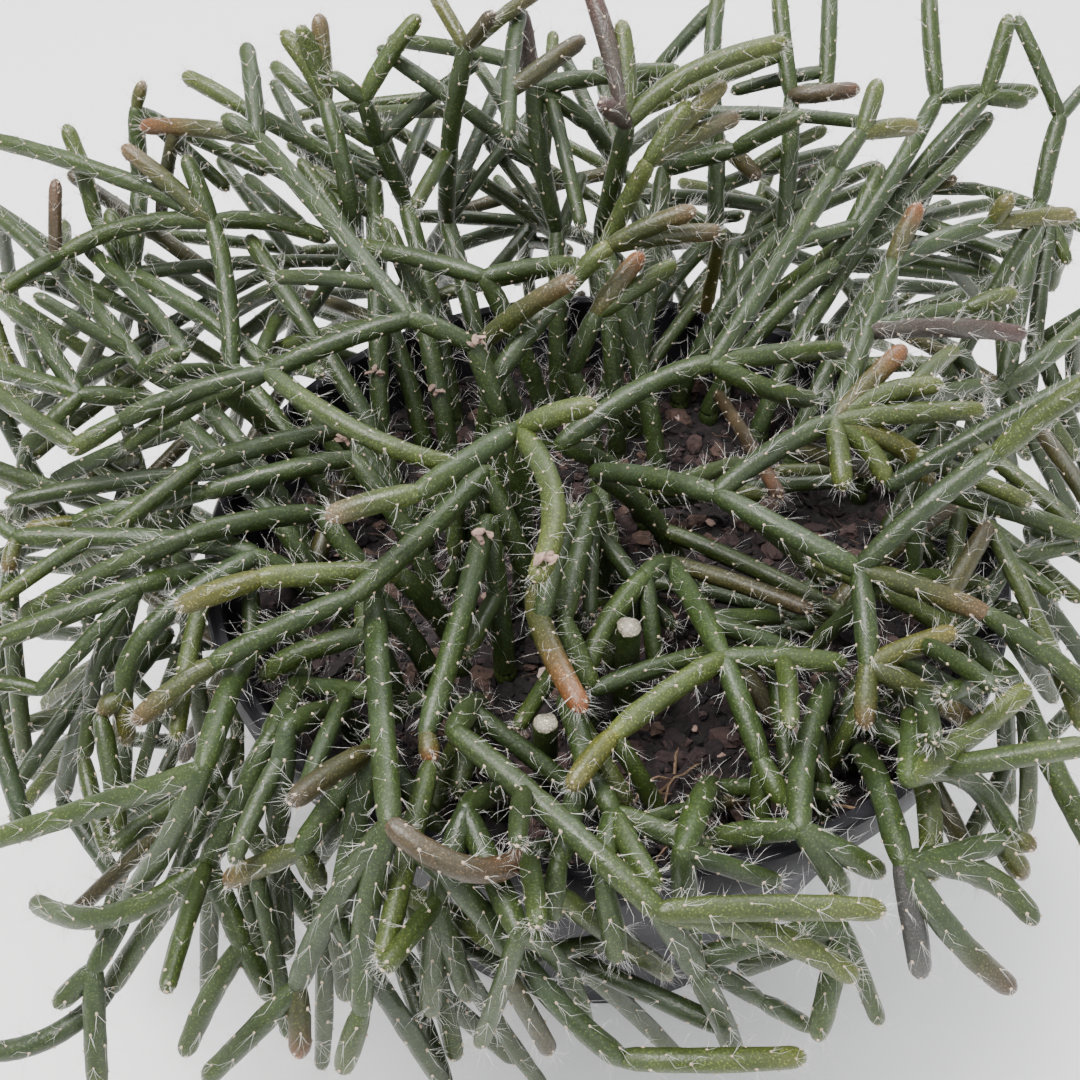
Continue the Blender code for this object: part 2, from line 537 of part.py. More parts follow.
def makePot(parts, helpers):
    lean = (rimRadius - bandOut - baseRadius) / (potHeight - 1.0)
    side = lambda z: baseRadius + lean * z
    rim = rimRadius
    low = potHeight - bandHeight
    profile = [(rim - wall - 1.0, potHeight - 0.5), (rim - 1.6, potHeight), (rim - 0.5, potHeight - 0.4),
               (rim, potHeight - 1.4), (rim - 0.4, low + 0.6), (side(low), low), (side(4), 4),
               (baseRadius - 0.8, 0), (18, 0), (0, 0), (0, 1.8), (baseRadius - wall, 1.8),
               (side(6) - wall, 6), (side(low) - wall, low), (rim - wall - 1.4, potHeight - 3)]
    profile.append(profile[0])
    pot = turned("pot", profile, 32, parts)
    for k in range(6):
        turn = math.radians(30 + 60 * k)
        hole(30 * math.cos(turn), 30 * math.sin(turn), 3.5, -2, 4, 6, helpers)
    join(pot, helpers, "DIFFERENCE")
    return pot


def makeSoil(parts, helpers, skeleton):
    lean = (rimRadius - bandOut - baseRadius) / (potHeight - 1.0)
    inner = lambda z: baseRadius + lean * z - wall - gap - 0.1
    rng = random.Random(77)
    rings = (14, 28, 42, 55)
    sides = 24
    work = bmesh.new()
    top = [work.verts.new((0, 0, soilTop * mm))]
    loops = []
    for n, r in enumerate(rings):
        loop = []
        for k in range(sides):
            turn = 2 * math.pi * (k + 0.5 * (n % 2)) / sides
            lift = rng.uniform(-soilBump, soilBump)
            loop.append(work.verts.new((r * math.cos(turn) * mm, r * math.sin(turn) * mm, (soilTop + lift) * mm)))
        loops.append(loop)
    for z in (soilTop - 1.0, 6.0, 1.8 + gap):
        r = inner(z) if z > 3 else inner(2) - 0.5
        loops.append([work.verts.new((r * math.cos(2 * math.pi * k / sides) * mm,
                                      r * math.sin(2 * math.pi * k / sides) * mm, z * mm)) for k in range(sides)])
    for k in range(sides):
        work.faces.new((top[0], loops[0][k], loops[0][(k + 1) % sides]))
    for inside, outside in zip(loops, loops[1:]):
        for k in range(sides):
            work.faces.new((inside[k], outside[k], outside[(k + 1) % sides], inside[(k + 1) % sides]))
    work.faces.new(list(reversed(loops[-1])))
    bmesh.ops.triangulate(work, faces=[f for f in work.faces if len(f.verts) == 4])
    bmesh.ops.recalc_face_normals(work, faces=work.faces)
    mesh = bpy.data.meshes.new("soil")
    work.to_mesh(mesh)
    work.free()
    soil = take("soil", mesh, parts)
    for segment in skeleton.segments:
        if segment["peg"]:
            x, y, z = skeleton.points[segment["at"][0]]
            hole(x, y, (segment["r"] * 1.08 + gap) * 1.13, pegFoot - gap, soilTop + 6, 6, helpers, rng.uniform(0, 0.7))
    join(soil, helpers, "DIFFERENCE")
    return soil


def main():
    for old in bpy.data.objects[:]:
        bpy.data.objects.remove(old)
    parts = collection("mistletoe_cactus")
    helpers = collection("helpers", True)
    looks = {"pot": material("pot_plastic", (0.03, 0.028, 0.034), 0.5),
             "soil": material("soil_coir", (0.035, 0.022, 0.018), 0.95)}
    stemSection(collection("sections", True))
    skeleton = Skeleton()
    skeleton.clear()
    print("stems", len(skeleton.segments), "worst", round(skeleton.worst, 3), "left", len(skeleton.left))
    for one, two, need in sorted(skeleton.left, key=lambda row: -row[2])[:25]:
        print("  near", one["spray"], one["key"], two["spray"], two["key"], round(float(need), 2))
    makePot(parts, helpers)
    makeSoil(parts, helpers, skeleton)
    rng = random.Random(5)
    for name in list(sprays) + list(stubs):
        makeSpray(name, skeleton, rng, parts, helpers)
        looks[name] = material(name + "_green", (rng.uniform(0.05, 0.09), rng.uniform(0.11, 0.16), 0.045), 0.55)
    for name, look in looks.items():
        bpy.data.objects[name].data.materials.clear()
        bpy.data.objects[name].data.materials.append(look)
    count = {o.name: sum(len(p.vertices) - 2 for p in o.data.polygons) for o in parts.objects}
    print("triangles", sum(count.values()), "pot", count["pot"], "soil", count["soil"])
    return skeleton


skeleton = main()
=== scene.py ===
import math
import random

import bpy
import numpy as np
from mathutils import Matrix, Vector, kdtree, noise as waves


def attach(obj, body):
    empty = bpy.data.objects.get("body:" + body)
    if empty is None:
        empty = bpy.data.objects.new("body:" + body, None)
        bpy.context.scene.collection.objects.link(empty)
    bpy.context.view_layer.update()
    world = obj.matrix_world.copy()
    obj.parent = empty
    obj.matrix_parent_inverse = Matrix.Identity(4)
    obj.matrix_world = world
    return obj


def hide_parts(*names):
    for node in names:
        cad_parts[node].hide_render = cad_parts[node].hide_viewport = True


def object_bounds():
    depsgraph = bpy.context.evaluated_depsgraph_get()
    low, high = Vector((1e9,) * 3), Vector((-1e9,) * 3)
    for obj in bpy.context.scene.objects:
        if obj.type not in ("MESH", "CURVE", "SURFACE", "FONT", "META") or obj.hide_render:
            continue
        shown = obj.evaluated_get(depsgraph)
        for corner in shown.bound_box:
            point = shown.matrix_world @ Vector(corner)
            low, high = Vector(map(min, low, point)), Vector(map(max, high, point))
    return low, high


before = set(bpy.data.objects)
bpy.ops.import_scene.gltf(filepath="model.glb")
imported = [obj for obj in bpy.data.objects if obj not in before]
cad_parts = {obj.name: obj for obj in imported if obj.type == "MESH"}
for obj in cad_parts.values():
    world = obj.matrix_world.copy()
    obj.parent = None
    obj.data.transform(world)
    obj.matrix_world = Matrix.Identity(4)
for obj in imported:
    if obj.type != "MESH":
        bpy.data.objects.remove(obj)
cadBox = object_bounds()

# Driving dimensions of the pot, from the middle of its flat base
potHeight = 95.0
rimRadius = 72.5
baseRadius = 46.0
wall = 1.3
bandHeight = 9.0
bandOut = 1.6
soilTop = 81.0
soilBump = 1.5
gap = 0.35
mm = 0.001
lean = (rimRadius - bandOut - baseRadius) / (potHeight - 1.0)  # the wall's slope outward

# The wall and the band from (radius, height) to (radius, height), with half of what they take up
potLines = (((baseRadius, 0), (rimRadius - 2, potHeight - bandHeight), 1.2),
            ((rimRadius, potHeight - bandHeight), (rimRadius, potHeight - 1), 2.2))

# Stem sizes
thick = 1.95
slimmer = 0.05  # for each joint further out, up to four
thinBy = 0.4  # for the stems named in thin
stemGap = 0.85
pegFoot = 70.0
pegHead = 84.0

# Stems further up the picture than backStart stand higher by backLift for each pixel
backStart = 250
backLift = 0.085

# The photo's viewpoint: eye, downward angle and focal length in pixels
eye = np.array((-11.85, -175.7, 271.0))
pitch = math.radians(45.6)
focal = 1362.0
pictureSize = 1080
middle = 540.0
lookAhead = np.array((0.0, math.cos(pitch), -math.sin(pitch)))
lookUp = np.array((0.0, math.sin(pitch), math.cos(pitch)))


def at(px, py, z):
    # point at height z seen at a picture position
    ray = lookAhead * focal + np.array((px - middle, 0.0, 0.0)) + lookUp * (middle - py)
    return eye + ray * (z - eye[2]) / ray[2]


# Each spray: its root on the soil (x, y), then joints as (px, py, height[, px, py the stem bows
# through]). A joint's name minus its last letter is the joint it grows from.
sprays = {
    "spray_01": dict(root=(-19, 8), A=(500, 415, 110), AA=(474, 346, 122), AAA=(410, 318, 127),
                     AAAA=(258, 138, 127), AAAAA=(141, 127, 122), AAAAB=(221, 117, 128),
                     AAAAC=(246, 44, 128), AAAB=(268, 372, 120), AAABA=(122, 420, 113),
                     AAABAA=(68, 453, 109), AAABB=(122, 449, 107), AAABC=(452, 463, 115, 362, 434)),
    "spray_02": dict(root=(-15, -5), A=(513, 429, 126), AA=(418, 493, 128), AAA=(325, 518, 125),
                     AB=(597, 404, 131), AC=(534, 582, 127, 552, 500)),
    "spray_03": dict(root=(8, 14), A=(562, 446, 113), AA=(712, 363, 124, 640, 390), AAA=(835, 172, 132),
                     AAAA=(862, 133, 134), AAAAA=(878, 79, 136), AAAAB=(917, 127, 131),
                     AAB=(846, 350, 119), AAC=(815, 400, 113, 765, 388)),
    "spray_04": dict(root=(14, 2), A=(594, 470, 107), AA=(716, 494, 118), AAA=(833, 421, 124, 772, 452),
                     AAAA=(986, 411, 124), AAAB=(944, 386, 128, 890, 392), AAAC=(843, 491, 120),
                     AAAD=(889, 486, 117, 865, 445), AAAE=(928, 487, 113, 905, 450),
                     AAAF=(866, 330, 128), AAAFA=(892, 262, 132), AAAFAA=(920, 203, 136),
                     AAAFAB=(992, 224, 131), AAAFABA=(1076, 216, 130), AAAFABB=(1012, 194, 134),
                     AAAFB=(966, 312, 124), AAAFBA=(1018, 293, 126), AAAFC=(1024, 332, 119),
                     AAAG=(905, 347, 129), AAB=(859, 570, 116, 795, 536), AABA=(996, 454, 131, 925, 508),
                     AABAA=(1112, 370, 145), AABB=(984, 613, 112), AABBA=(1100, 700, 104, 1040, 650),
                     AABC=(867, 668, 109), AABCA=(957, 631, 111, 900, 652), AABCB=(865, 730, 105),
                     AABCC=(968, 731, 99, 915, 695)),
    "spray_05": dict(root=(20, -20), A=(668, 562, 98), AA=(723, 658, 105), AAA=(613, 735, 106),
                     AAAA=(569, 791, 103), AAB=(848, 664, 103), AAC=(762, 759, 100),
                     AACA=(787, 808, 98), AB=(646, 576, 104), ABA=(585, 680, 98, 608, 625)),
    "spray_06": dict(root=(4, 34), A=(600, 236, 117), AA=(628, 125, 133), AAA=(587, -20, 140),
                     AAB=(621, 20, 138), AAC=(600, 102, 138), AAD=(788, 42, 138, 690, 75)),
    "spray_07": dict(root=(12, 26), A=(604, 250, 120), AA=(648, 162, 130), AAA=(690, 100, 134),
                     AAB=(726, 82, 133), AAC=(740, 117, 130, 700, 132)),
    "spray_08": dict(root=(-24, 16), A=(490, 372, 114), AA=(570, 283, 126), AAA=(610, 246, 131),
                     AAAA=(697, 210, 135), AAAB=(722, 232, 130)),
    "spray_09": dict(root=(-12, 20), A=(488, 348, 116), AA=(577, 279, 131, 525, 313)),
    "spray_10": dict(root=(0, 24), A=(572, 372, 108), AA=(595, 315, 118), AAA=(643, 253, 126),
                     AAB=(676, 263, 122)),
    "spray_11": dict(root=(-30, 30), A=(418, 302, 108), AA=(383, 218, 119)),
    "spray_12": dict(root=(-10, 38), A=(484, 277, 119), AA=(350, 245, 117, 416, 258), AB=(583, 264, 119)),
    "spray_13": dict(root=(-22, 42), A=(447, 222, 110), AA=(466, 48, 136, 450, 140),
                     AAA=(425, -22, 138), AAB=(494, 12, 141), AAC=(548, -14, 136)),
    "spray_14": dict(root=(-8, 48), A=(557, 232, 113), AA=(533, 88, 128, 541, 160), AAA=(520, 8, 134),
                     AAB=(590, 125, 123), AABA=(618, 168, 114), AAC=(600, 78, 128), AACA=(682, 72, 127)),
    "spray_15": dict(root=(-36, 36), A=(366, 243, 112), AA=(326, 102, 126, 352, 180), AAA=(319, 13, 133),
                     AAB=(281, 31, 131, 308, 66), AAC=(300, 27, 134, 315, 60)),
    "spray_16": dict(root=(-30, 44), A=(404, 205, 112), AA=(378, 143, 121), AAA=(363, 100, 127),
                     AAAA=(420, 15, 134), AAAB=(328, 74, 129), AAB=(272, 63, 124, 318, 104),
                     AB=(376, 118, 122)),
    "spray_17": dict(root=(-44, 28), A=(362, 182, 114), AA=(243, 108, 121), AAA=(183, 75, 121)),
    "spray_18": dict(root=(-52, 14), A=(232, 368, 104), AA=(212, 222, 119, 226, 285),
                     AAA=(146, 188, 119), AAAA=(-30, 136, 116), AAB=(122, 146, 124),
                     AAC=(60, 257, 113, 130, 226), AAD=(330, 240, 113, 270, 222), AAE=(185, 155, 123)),
    "spray_19": dict(root=(-40, 20), A=(316, 340, 106), AA=(248, 236, 114)),
    "spray_20": dict(root=(-56, 4), A=(185, 395, 100), AA=(142, 368, 106), AAA=(57, 270, 110),
                     AAAA=(-32, 192, 110), AAAB=(56, 179, 118), AAB=(190, 350, 110)),
    "spray_21": dict(root=(-52, -6), A=(150, 402, 99), AA=(80, 395, 104), AAA=(38, 330, 107),
                     AAAA=(-25, 280, 106), AAB=(-32, 364, 103), AAC=(22, 450, 97, 55, 420)),
    "spray_22": dict(root=(-50, 26), A=(130, 275, 107), AA=(100, 222, 112), AAA=(65, 124, 120),
                     AB=(140, 185, 113), ABA=(136, 110, 121), ABAA=(144, 81, 124), AC=(104, 208, 113)),
    "spray_23": dict(root=(-34, 6), A=(338, 430, 103), AA=(200, 464, 105), AAA=(105, 538, 99)),
    "spray_24": dict(root=(-32, -4), A=(352, 458, 101), AA=(206, 492, 101), AAA=(75, 522, 97),
                     AAAA=(25, 530, 96)),
    "spray_25": dict(root=(-48, -12), A=(255, 560, 100), AA=(15, 541, 104, 185, 548),
                     AAA=(-30, 500, 104), AAB=(8, 575, 100), AB=(110, 692, 88, 150, 625),
                     ABA=(100, 716, 85), ABB=(126, 745, 80)),
    "spray_26": dict(root=(-40, -12), A=(319, 514, 101), AA=(190, 541, 105, 255, 525),
                     AAA=(80, 600, 98), AAB=(20, 618, 96)),
    "spray_27": dict(root=(-26, -22), A=(398, 574, 109), AA=(260, 578, 114), AAA=(175, 609, 110)),
    "spray_28": dict(root=(-30, -28), A=(374, 594, 106), AA=(392, 824, 107, 380, 690),
                     AAA=(362, 1010, 82, 367, 915), AAAA=(342, 1072, 70), AAB=(526, 956, 90, 458, 880),
                     AABA=(622, 1058, 74, 572, 1015), AABAA=(805, 1056, 74, 710, 1060),
                     AAC=(297, 986, 80, 335, 905), AACA=(300, 1058, 70), AACB=(204, 1080, 66),
                     AAD=(529, 856, 96, 470, 872)),
    "spray_29": dict(root=(-12, -14), A=(490, 472, 112), AA=(352, 597, 111, 430, 530),
                     AAA=(214, 664, 105), AAAA=(133, 724, 99)),
    "spray_30": dict(root=(-36, -32), A=(372, 640, 97), AA=(246, 692, 95, 300, 662)),
    "spray_31": dict(root=(-58, -1), A=(120, 622, 100, 220, 590), AA=(-32, 648, 98),
                     AB=(40, 690, 92), ABA=(-20, 680, 92), AC=(98, 705, 86), ACA=(84, 760, 78)),
    "spray_32": dict(root=(-22, -34), A=(450, 731, 106), AA=(658, 912, 101, 548, 812),
                     AAA=(886, 910, 101), AAB=(858, 980, 88, 770, 935), AAC=(697, 973, 90),
                     AACA=(737, 1060, 72)),
    "spray_33": dict(root=(-18, -24), A=(488, 519, 106), AA=(434, 738, 102, 464, 618),
                     AAA=(430, 765, 100)),
    "spray_34": dict(root=(-4, -20), A=(536, 592, 107), AA=(584, 712, 111, 547, 640)),
    "spray_35": dict(root=(0, -6), A=(592, 500, 105), AA=(562, 620, 107, 576, 560), AAA=(594, 690, 100)),
    "spray_36": dict(root=(-4, -34), A=(566, 700, 97), AA=(592, 776, 99), AAA=(610, 810, 102),
                     AAAA=(709, 868, 100, 665, 838), AAAB=(669, 886, 99), AAAC=(604, 886, 101),
                     AAACA=(617, 962, 88), AAB=(560, 862, 101), AABA=(544, 930, 92)),
    "spray_37": dict(root=(-44, -36), A=(286, 726, 102), AA=(284, 838, 88), AAA=(286, 960, 70)),
    "spray_38": dict(root=(-38, -44), A=(380, 755, 101), AA=(305, 851, 93), AAA=(224, 882, 86),
                     AAB=(320, 889, 85), AB=(350, 920, 84), ABA=(346, 1000, 70)),
    "spray_39": dict(root=(-54, -24), A=(252, 728, 102), AA=(204, 859, 84, 230, 800),
                     AAA=(110, 990, 60, 165, 905), AAAA=(-20, 1052, 54, 50, 1038),
                     AAB=(34, 899, 68, 110, 912), AAC=(242, 945, 76), AACA=(184, 1056, 60),
                     AACB=(272, 1000, 66)),
    "spray_40": dict(root=(-55, -18), A=(226, 784, 100), AA=(-30, 846, 82, 115, 806),
                     AB=(130, 904, 74, 172, 855), ABA=(93, 968, 66), ABAA=(98, 1104, 46, 94, 1040),
                     ABAB=(56, 1009, 61)),
    "spray_41": dict(root=(44, -36), A=(879, 706, 101), AA=(907, 764, 101), AAA=(926, 884, 92)),
    "spray_42": dict(root=(36, -34), A=(828, 684, 100), AA=(797, 838, 99, 803, 760), AAA=(884, 874, 94),
                     AAB=(835, 885, 90), AAC=(700, 862, 92, 760, 850)),
    "spray_43": dict(root=(50, -30), A=(905, 775, 103), AA=(1029, 687, 105, 968, 734),
                     AB=(1012, 838, 92, 962, 775), ABA=(1036, 848, 91)),
    "spray_44": dict(root=(40, -43), A=(905, 880, 98), AA=(1014, 990, 82, 955, 940),
                     AB=(1000, 842, 95, 950, 860), ABA=(1025, 878, 90), AC=(1036, 925, 88, 985, 880),
                     AD=(921, 978, 84)),
    "spray_45": dict(root=(58, -6), A=(962, 640, 100), AA=(1014, 680, 103), AAA=(1112, 880, 88, 1052, 765),
                     AB=(1010, 560, 104, 985, 600), ABA=(1112, 540, 106), ABB=(1060, 600, 102)),
    "spray_46": dict(root=(34, 40), A=(868, 235, 108), AA=(984, 98, 120, 922, 166), AAA=(1009, 14, 127),
                     AAB=(1026, 104, 119), AB=(992, 112, 118, 940, 172)),
    "spray_47": dict(root=(52, 22), A=(1004, 386, 107), AA=(1040, 205, 118, 1022, 290),
                     AAA=(1060, 118, 123), AAAA=(1016, 16, 129), AAAB=(1108, 70, 121),
                     AB=(1108, 300, 112, 1060, 345), AAB=(1068, 265, 114)),
    "spray_48": dict(root=(24, 46), A=(836, 262, 108), AA=(937, 98, 118, 890, 182), AAA=(929, -24, 125),
                     AAB=(1038, 93, 117), AB=(882, 164, 116)),
    "spray_49": dict(root=(18, 50), A=(782, 232, 108), AA=(791, 96, 119), AAA=(778, -24, 125),
                     AAB=(860, 89, 121, 815, 94), AAC=(826, 90, 118), AACA=(830, -26, 124)),
    "spray_50": dict(root=(2, 50), A=(716, 232, 106), AA=(718, 143, 114), AAA=(722, -24, 124, 712, 60),
                     AAB=(760, 180, 112)),
    "spray_51": dict(root=(8, 42), A=(664, 170, 116), AA=(735, 150, 121), AAA=(806, 115, 126)),
    "spray_52": dict(root=(40, 32), A=(905, 240, 103), AA=(930, 190, 108), AAA=(957, 178, 111),
                     AAB=(985, 190, 109), AABA=(1108, 240, 105), AB=(1000, 300, 103, 985, 260)),
    "spray_53": dict(root=(-18, -52), A=(470, 815, 102), AA=(440, 900, 96), AAA=(430, 1015, 74),
                     AAB=(470, 1000, 76), AB=(520, 925, 95), ABA=(588, 1032, 74, 565, 960),
                     ABB=(480, 1045, 72)),
    "spray_54": dict(root=(16, -50), A=(672, 850, 102), AA=(690, 955, 86), AAA=(760, 1000, 76),
                     AAAA=(815, 1030, 71), AAB=(842, 925, 88), AABA=(880, 1024, 72),
                     AABB=(815, 1040, 71)),
    "spray_55": dict(root=(27, 51), A=(732, 251, 107), AA=(748, 241, 95), AAA=(747, 298, 70),
                     AAB=(840, 276, 82), AABA=(877, 325, 66), AAC=(662, 245, 84)),
    "spray_56": dict(root=(-8, 56), A=(558, 236, 108), AA=(531, 223, 96), AAA=(516, 284, 70),
                     AAB=(612, 250, 80), AAC=(432, 255, 84), AACA=(398, 297, 66)),
}
stubs = {"stub_01": ((2.5, -32.5), 105.0, 1.95), "stub_02": ((-11.0, -47.0), 99.0, 1.95)}
thin = {"spray_22": "ABAA", "spray_20": "AAAB", "spray_13": "AAA AAB AAC", "spray_47": "AAAA AAAB AAB",
        "spray_52": "AA AAA AAB AABA AB", "spray_31": "AB ABA AC ACA", "spray_45": "AB ABA ABB",
        "spray_54": "AAA AAAA AABA", "spray_53": "ABA ABB", "spray_24": "AAAA", "spray_25": "AAA AAB"}

# How a stem bows: a first joint, one through a given point, and any other, as shares of its length
bowPlan = {"up": 0.5, "neck": 0.55, "ends": 0.225, "through": 0.03, "side": 0.05, "back": 0.3, "rise": 0.06}
# Bending stems clear: rounds, pieces per stem, how often near pairs are found, and how hard each push is
clearPlan = {"seed": 1936, "rounds": 260, "spans": 7, "again": 8, "margin": 3.0, "sight": 0.3,
             "touching": 0.05, "half": 0.5, "extra": 0.02, "least": 0.15, "ease": 0.5, "most": 1.6,
             "still": 0.03, "checks": 15, "soil": 0.8, "floor": 5, "wall": 0.9, "neck": 0.3}


class Skeleton:
    # Control points and stem segments of all sprays, bent clear of each other.

    def __init__(self):
        self.points, self.fixed, self.segments = [], [], []
        self.rng = random.Random(clearPlan["seed"])
        for name, joints in sprays.items():
            self.addSpray(name, joints)
        for name, ((x, y), top, radius) in stubs.items():
            foot = self.point((x, y, pegFoot), True)
            head = self.point((x, y, top), True)
            centre = self.point((x, y, (pegFoot + top) / 2), True)
            self.segments.append(dict(spray=name, key="", at=(foot, centre, head), r=radius, peg=True,
                                      tip=True))
        self.points = np.array(self.points)
        self.fixed = np.array(self.fixed)

    def point(self, place, fixed=False):
        self.points.append(np.array(place, float))
        self.fixed.append(fixed)
        return len(self.points) - 1

    def addSpray(self, name, joints):
        x, y = joints["root"]
        foot = self.point((x, y, pegFoot), True)
        neck = self.point((x, y, pegHead), True)
        centre = self.point((x, y, (pegFoot + pegHead) / 2), True)
        self.segments.append(dict(spray=name, key="", at=(foot, centre, neck), r=thick, peg=True, tip=False))
        index = {"": neck}
        for key in sorted(k for k in joints if k != "root"):
            value = joints[key]
            lift = (name < "spray_55") * backLift * max(0, backStart - value[1])
            value = (*value[:2], value[2] + lift, *value[3:])
            index[key] = self.point(at(*value[:3]))
            start, end = self.points[index[key[:-1]]], self.points[index[key]]
            length = np.linalg.norm(end - start)
            if len(key) == 1 and len(value) == 3:
                above = np.array((start[0], start[1], start[2] + bowPlan["up"] * length))
                bow = above * bowPlan["neck"] + (start + end) * bowPlan["ends"]
            elif len(value) == 5:
                through = at(value[3], value[4], (start[2] + end[2]) / 2 + bowPlan["through"] * length)
                bow = 2 * through - (start + end) / 2
            else:
                side = self.rng.uniform(-bowPlan["side"], bowPlan["side"]) * length
                bow = (start + end) / 2 + np.array((side, -side * bowPlan["back"], bowPlan["rise"] * length))
            radius = thick - slimmer * min(len(key), 4)
            radius = radius - (thinBy if key in thin.get(name, "").split() else 0)
            last = not any(k[:-1] == key for k in joints if k != "root")
            self.segments.append(dict(spray=name, key=key, r=radius, peg=False, tip=last,
                                      at=(index[key[:-1]], self.point(bow), index[key])))

    def curve(self, segment, t):
        a, b, c = (self.points[i] for i in segment["at"])
        t = np.asarray(t, float)[:, None]
        return (1 - t) ** 2 * a + 2 * t * (1 - t) * b + t ** 2 * c

    def clear(self):
        # Bend stems apart along the line of sight where they can, sideways where they cannot.
        spans = clearPlan["spans"]
        edge = np.linspace(0, 1, spans + 1)
        count = len(self.segments)
        ends = np.array([s["at"] for s in self.segments])
        radii = np.array([s["r"] for s in self.segments])
        pegs = np.array([s["peg"] for s in self.segments])
        basis = np.stack([(1 - edge) ** 2, 2 * edge * (1 - edge), edge ** 2], 1)
        owner = np.repeat(np.arange(count), spans)
        shared = (ends[:, None, [0, 0, 2, 2]] == ends[None, :, [0, 2, 0, 2]]).any(2)
        pairs = None
        for turn in range(clearPlan["rounds"]):
            line = np.einsum("kb,sbd->skd", basis, self.points[ends])
            first, last = line[:, :-1].reshape(-1, 3), line[:, 1:].reshape(-1, 3)
            if turn % clearPlan["again"] == 0:
                mid = (first + last) / 2
                half = np.linalg.norm(last - first, axis=1) / 2
                dist = np.linalg.norm(mid[:, None] - mid[None], axis=2)
                reach = half[:, None] + half[None] + 2 * thick + clearPlan["margin"]
                i, j = np.nonzero(np.triu(dist < reach, 1))
                keep = (owner[i] != owner[j]) & ~shared[owner[i], owner[j]]
                pairs = i[keep], j[keep]
            i, j = pairs
            p, q, s, t = nearest(first[i], last[i], first[j], last[j])
            away = p - q
            dist = np.linalg.norm(away, axis=1)
            need = radii[owner[i]] + radii[owner[j]] + stemGap - dist
            bad = need > 0
            push = np.zeros_like(self.points)
            self.left = int(bad.sum())
            if bad.any():
                i, j, s, t = i[bad], j[bad], s[bad], t[bad]
                way = away[bad] / np.maximum(dist[bad], 1e-6)[:, None]
                sight = (p[bad] + q[bad]) / 2 - eye
                sight /= np.linalg.norm(sight, axis=1)[:, None]
                along = (way * sight).sum(1)
                flat = dist[bad] < clearPlan["touching"]
                along[flat] = 1.0
                use = np.abs(along) > clearPlan["sight"]
                aside = sight * np.sign(along)[:, None] / np.abs(along)[:, None]
                move = np.where(use[:, None], aside, way)
                move *= (need[bad] * clearPlan["half"] + clearPlan["extra"])[:, None]
                for k, u, sign in ((i, s, 1.0), (j, t, -1.0)):
                    where = (k % spans + u) / spans
                    weight = np.stack([(1 - where) ** 2, 2 * where * (1 - where), where ** 2], 1)
                    free = ~self.fixed[ends[owner[k]]]
                    weight *= free
                    total = np.maximum((weight ** 2).sum(1), clearPlan["least"])
                    for c in range(3):
                        share = (weight[:, c] / total)[:, None]
                        np.add.at(push, ends[owner[k], c], sign * move * share * clearPlan["ease"])
            for point in np.linspace(0, 1, clearPlan["checks"]):
                weight = np.array([(1 - point) ** 2, 2 * point * (1 - point), point ** 2])
                here = np.einsum("b,sbd->sd", weight, self.points[ends])
                self.keepOff(here, weight, ends, radii, pegs, push, point)
            size = np.linalg.norm(push, axis=1)
            push *= np.minimum(1.0, clearPlan["most"] / np.maximum(size, 1e-9))[:, None]
            push[self.fixed] = 0
            self.points += push
            if not bad.any() and size.max() < clearPlan["still"]:
                break

    def keepOff(self, here, weights, ends, radii, pegs, push, point):
        # Keep stem points over the soil, off the pot's wall and over the floor.
        out = np.hypot(here[:, 0], here[:, 1])
        radial = here[:, :2] / np.maximum(out, 1e-6)[:, None]
        necks = self.fixed[ends[:, 0]] & ~pegs
        shift = np.zeros_like(here)
        low = soilTop + soilBump + clearPlan["soil"] + radii - here[:, 2]
        inside = (out < rimRadius - 1) & (low > 0) & ~(necks & (point < clearPlan["neck"]))
        shift[inside, 2] += low[inside]
        floor = clearPlan["floor"] + radii - here[:, 2]
        shift[floor > 0, 2] += floor[floor > 0]
        for (r0, z0), (r1, z1), half in potLines:
            axis = np.array((r1 - r0, z1 - z0))
            rel = np.stack([out - r0, here[:, 2] - z0], 1)
            u = np.clip((rel @ axis) / (axis @ axis), 0, 1)
            off = rel - u[:, None] * axis
            dist = np.linalg.norm(off, axis=1)
            need = half + radii + clearPlan["wall"] - dist
            hit = (need > 0) & ~pegs
            step = off[hit] / np.maximum(dist[hit], 1e-6)[:, None] * need[hit][:, None]
            shift[hit, 0] += radial[hit, 0] * step[:, 0]
            shift[hit, 1] += radial[hit, 1] * step[:, 0]
            shift[hit, 2] += step[:, 1]
        free = ~self.fixed[ends]
        weight = weights[None] * free
        total = np.maximum((weight ** 2).sum(1), clearPlan["least"])
        for c in range(3):
            np.add.at(push, ends[:, c], shift * (weight[:, c] / total)[:, None] * clearPlan["ease"])


def nearest(a, b, c, d):
    # Nearest points of the pieces a-b and c-d, row by row.
    u, v, w = b - a, d - c, a - c
    uu, uv, vv = (u * u).sum(1), (u * v).sum(1), (v * v).sum(1)
    uw, vw = (u * w).sum(1), (v * w).sum(1)
    det = np.maximum(uu * vv - uv * uv, 1e-9)
    s = np.clip((uv * vw - vv * uw) / det, 0, 1)
    t = np.clip((uv * s + vw) / np.maximum(vv, 1e-9), 0, 1)
    s = np.clip((uv * t - uw) / np.maximum(uu, 1e-9), 0, 1)
    return a + s[:, None] * u, c + t[:, None] * v, s, t


def deselect():
    bpy.ops.object.select_all(action="DESELECT")


def keep(piece, slot, *nodes):
    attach(piece, "root")
    if nodes:
        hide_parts(*nodes)
    return piece


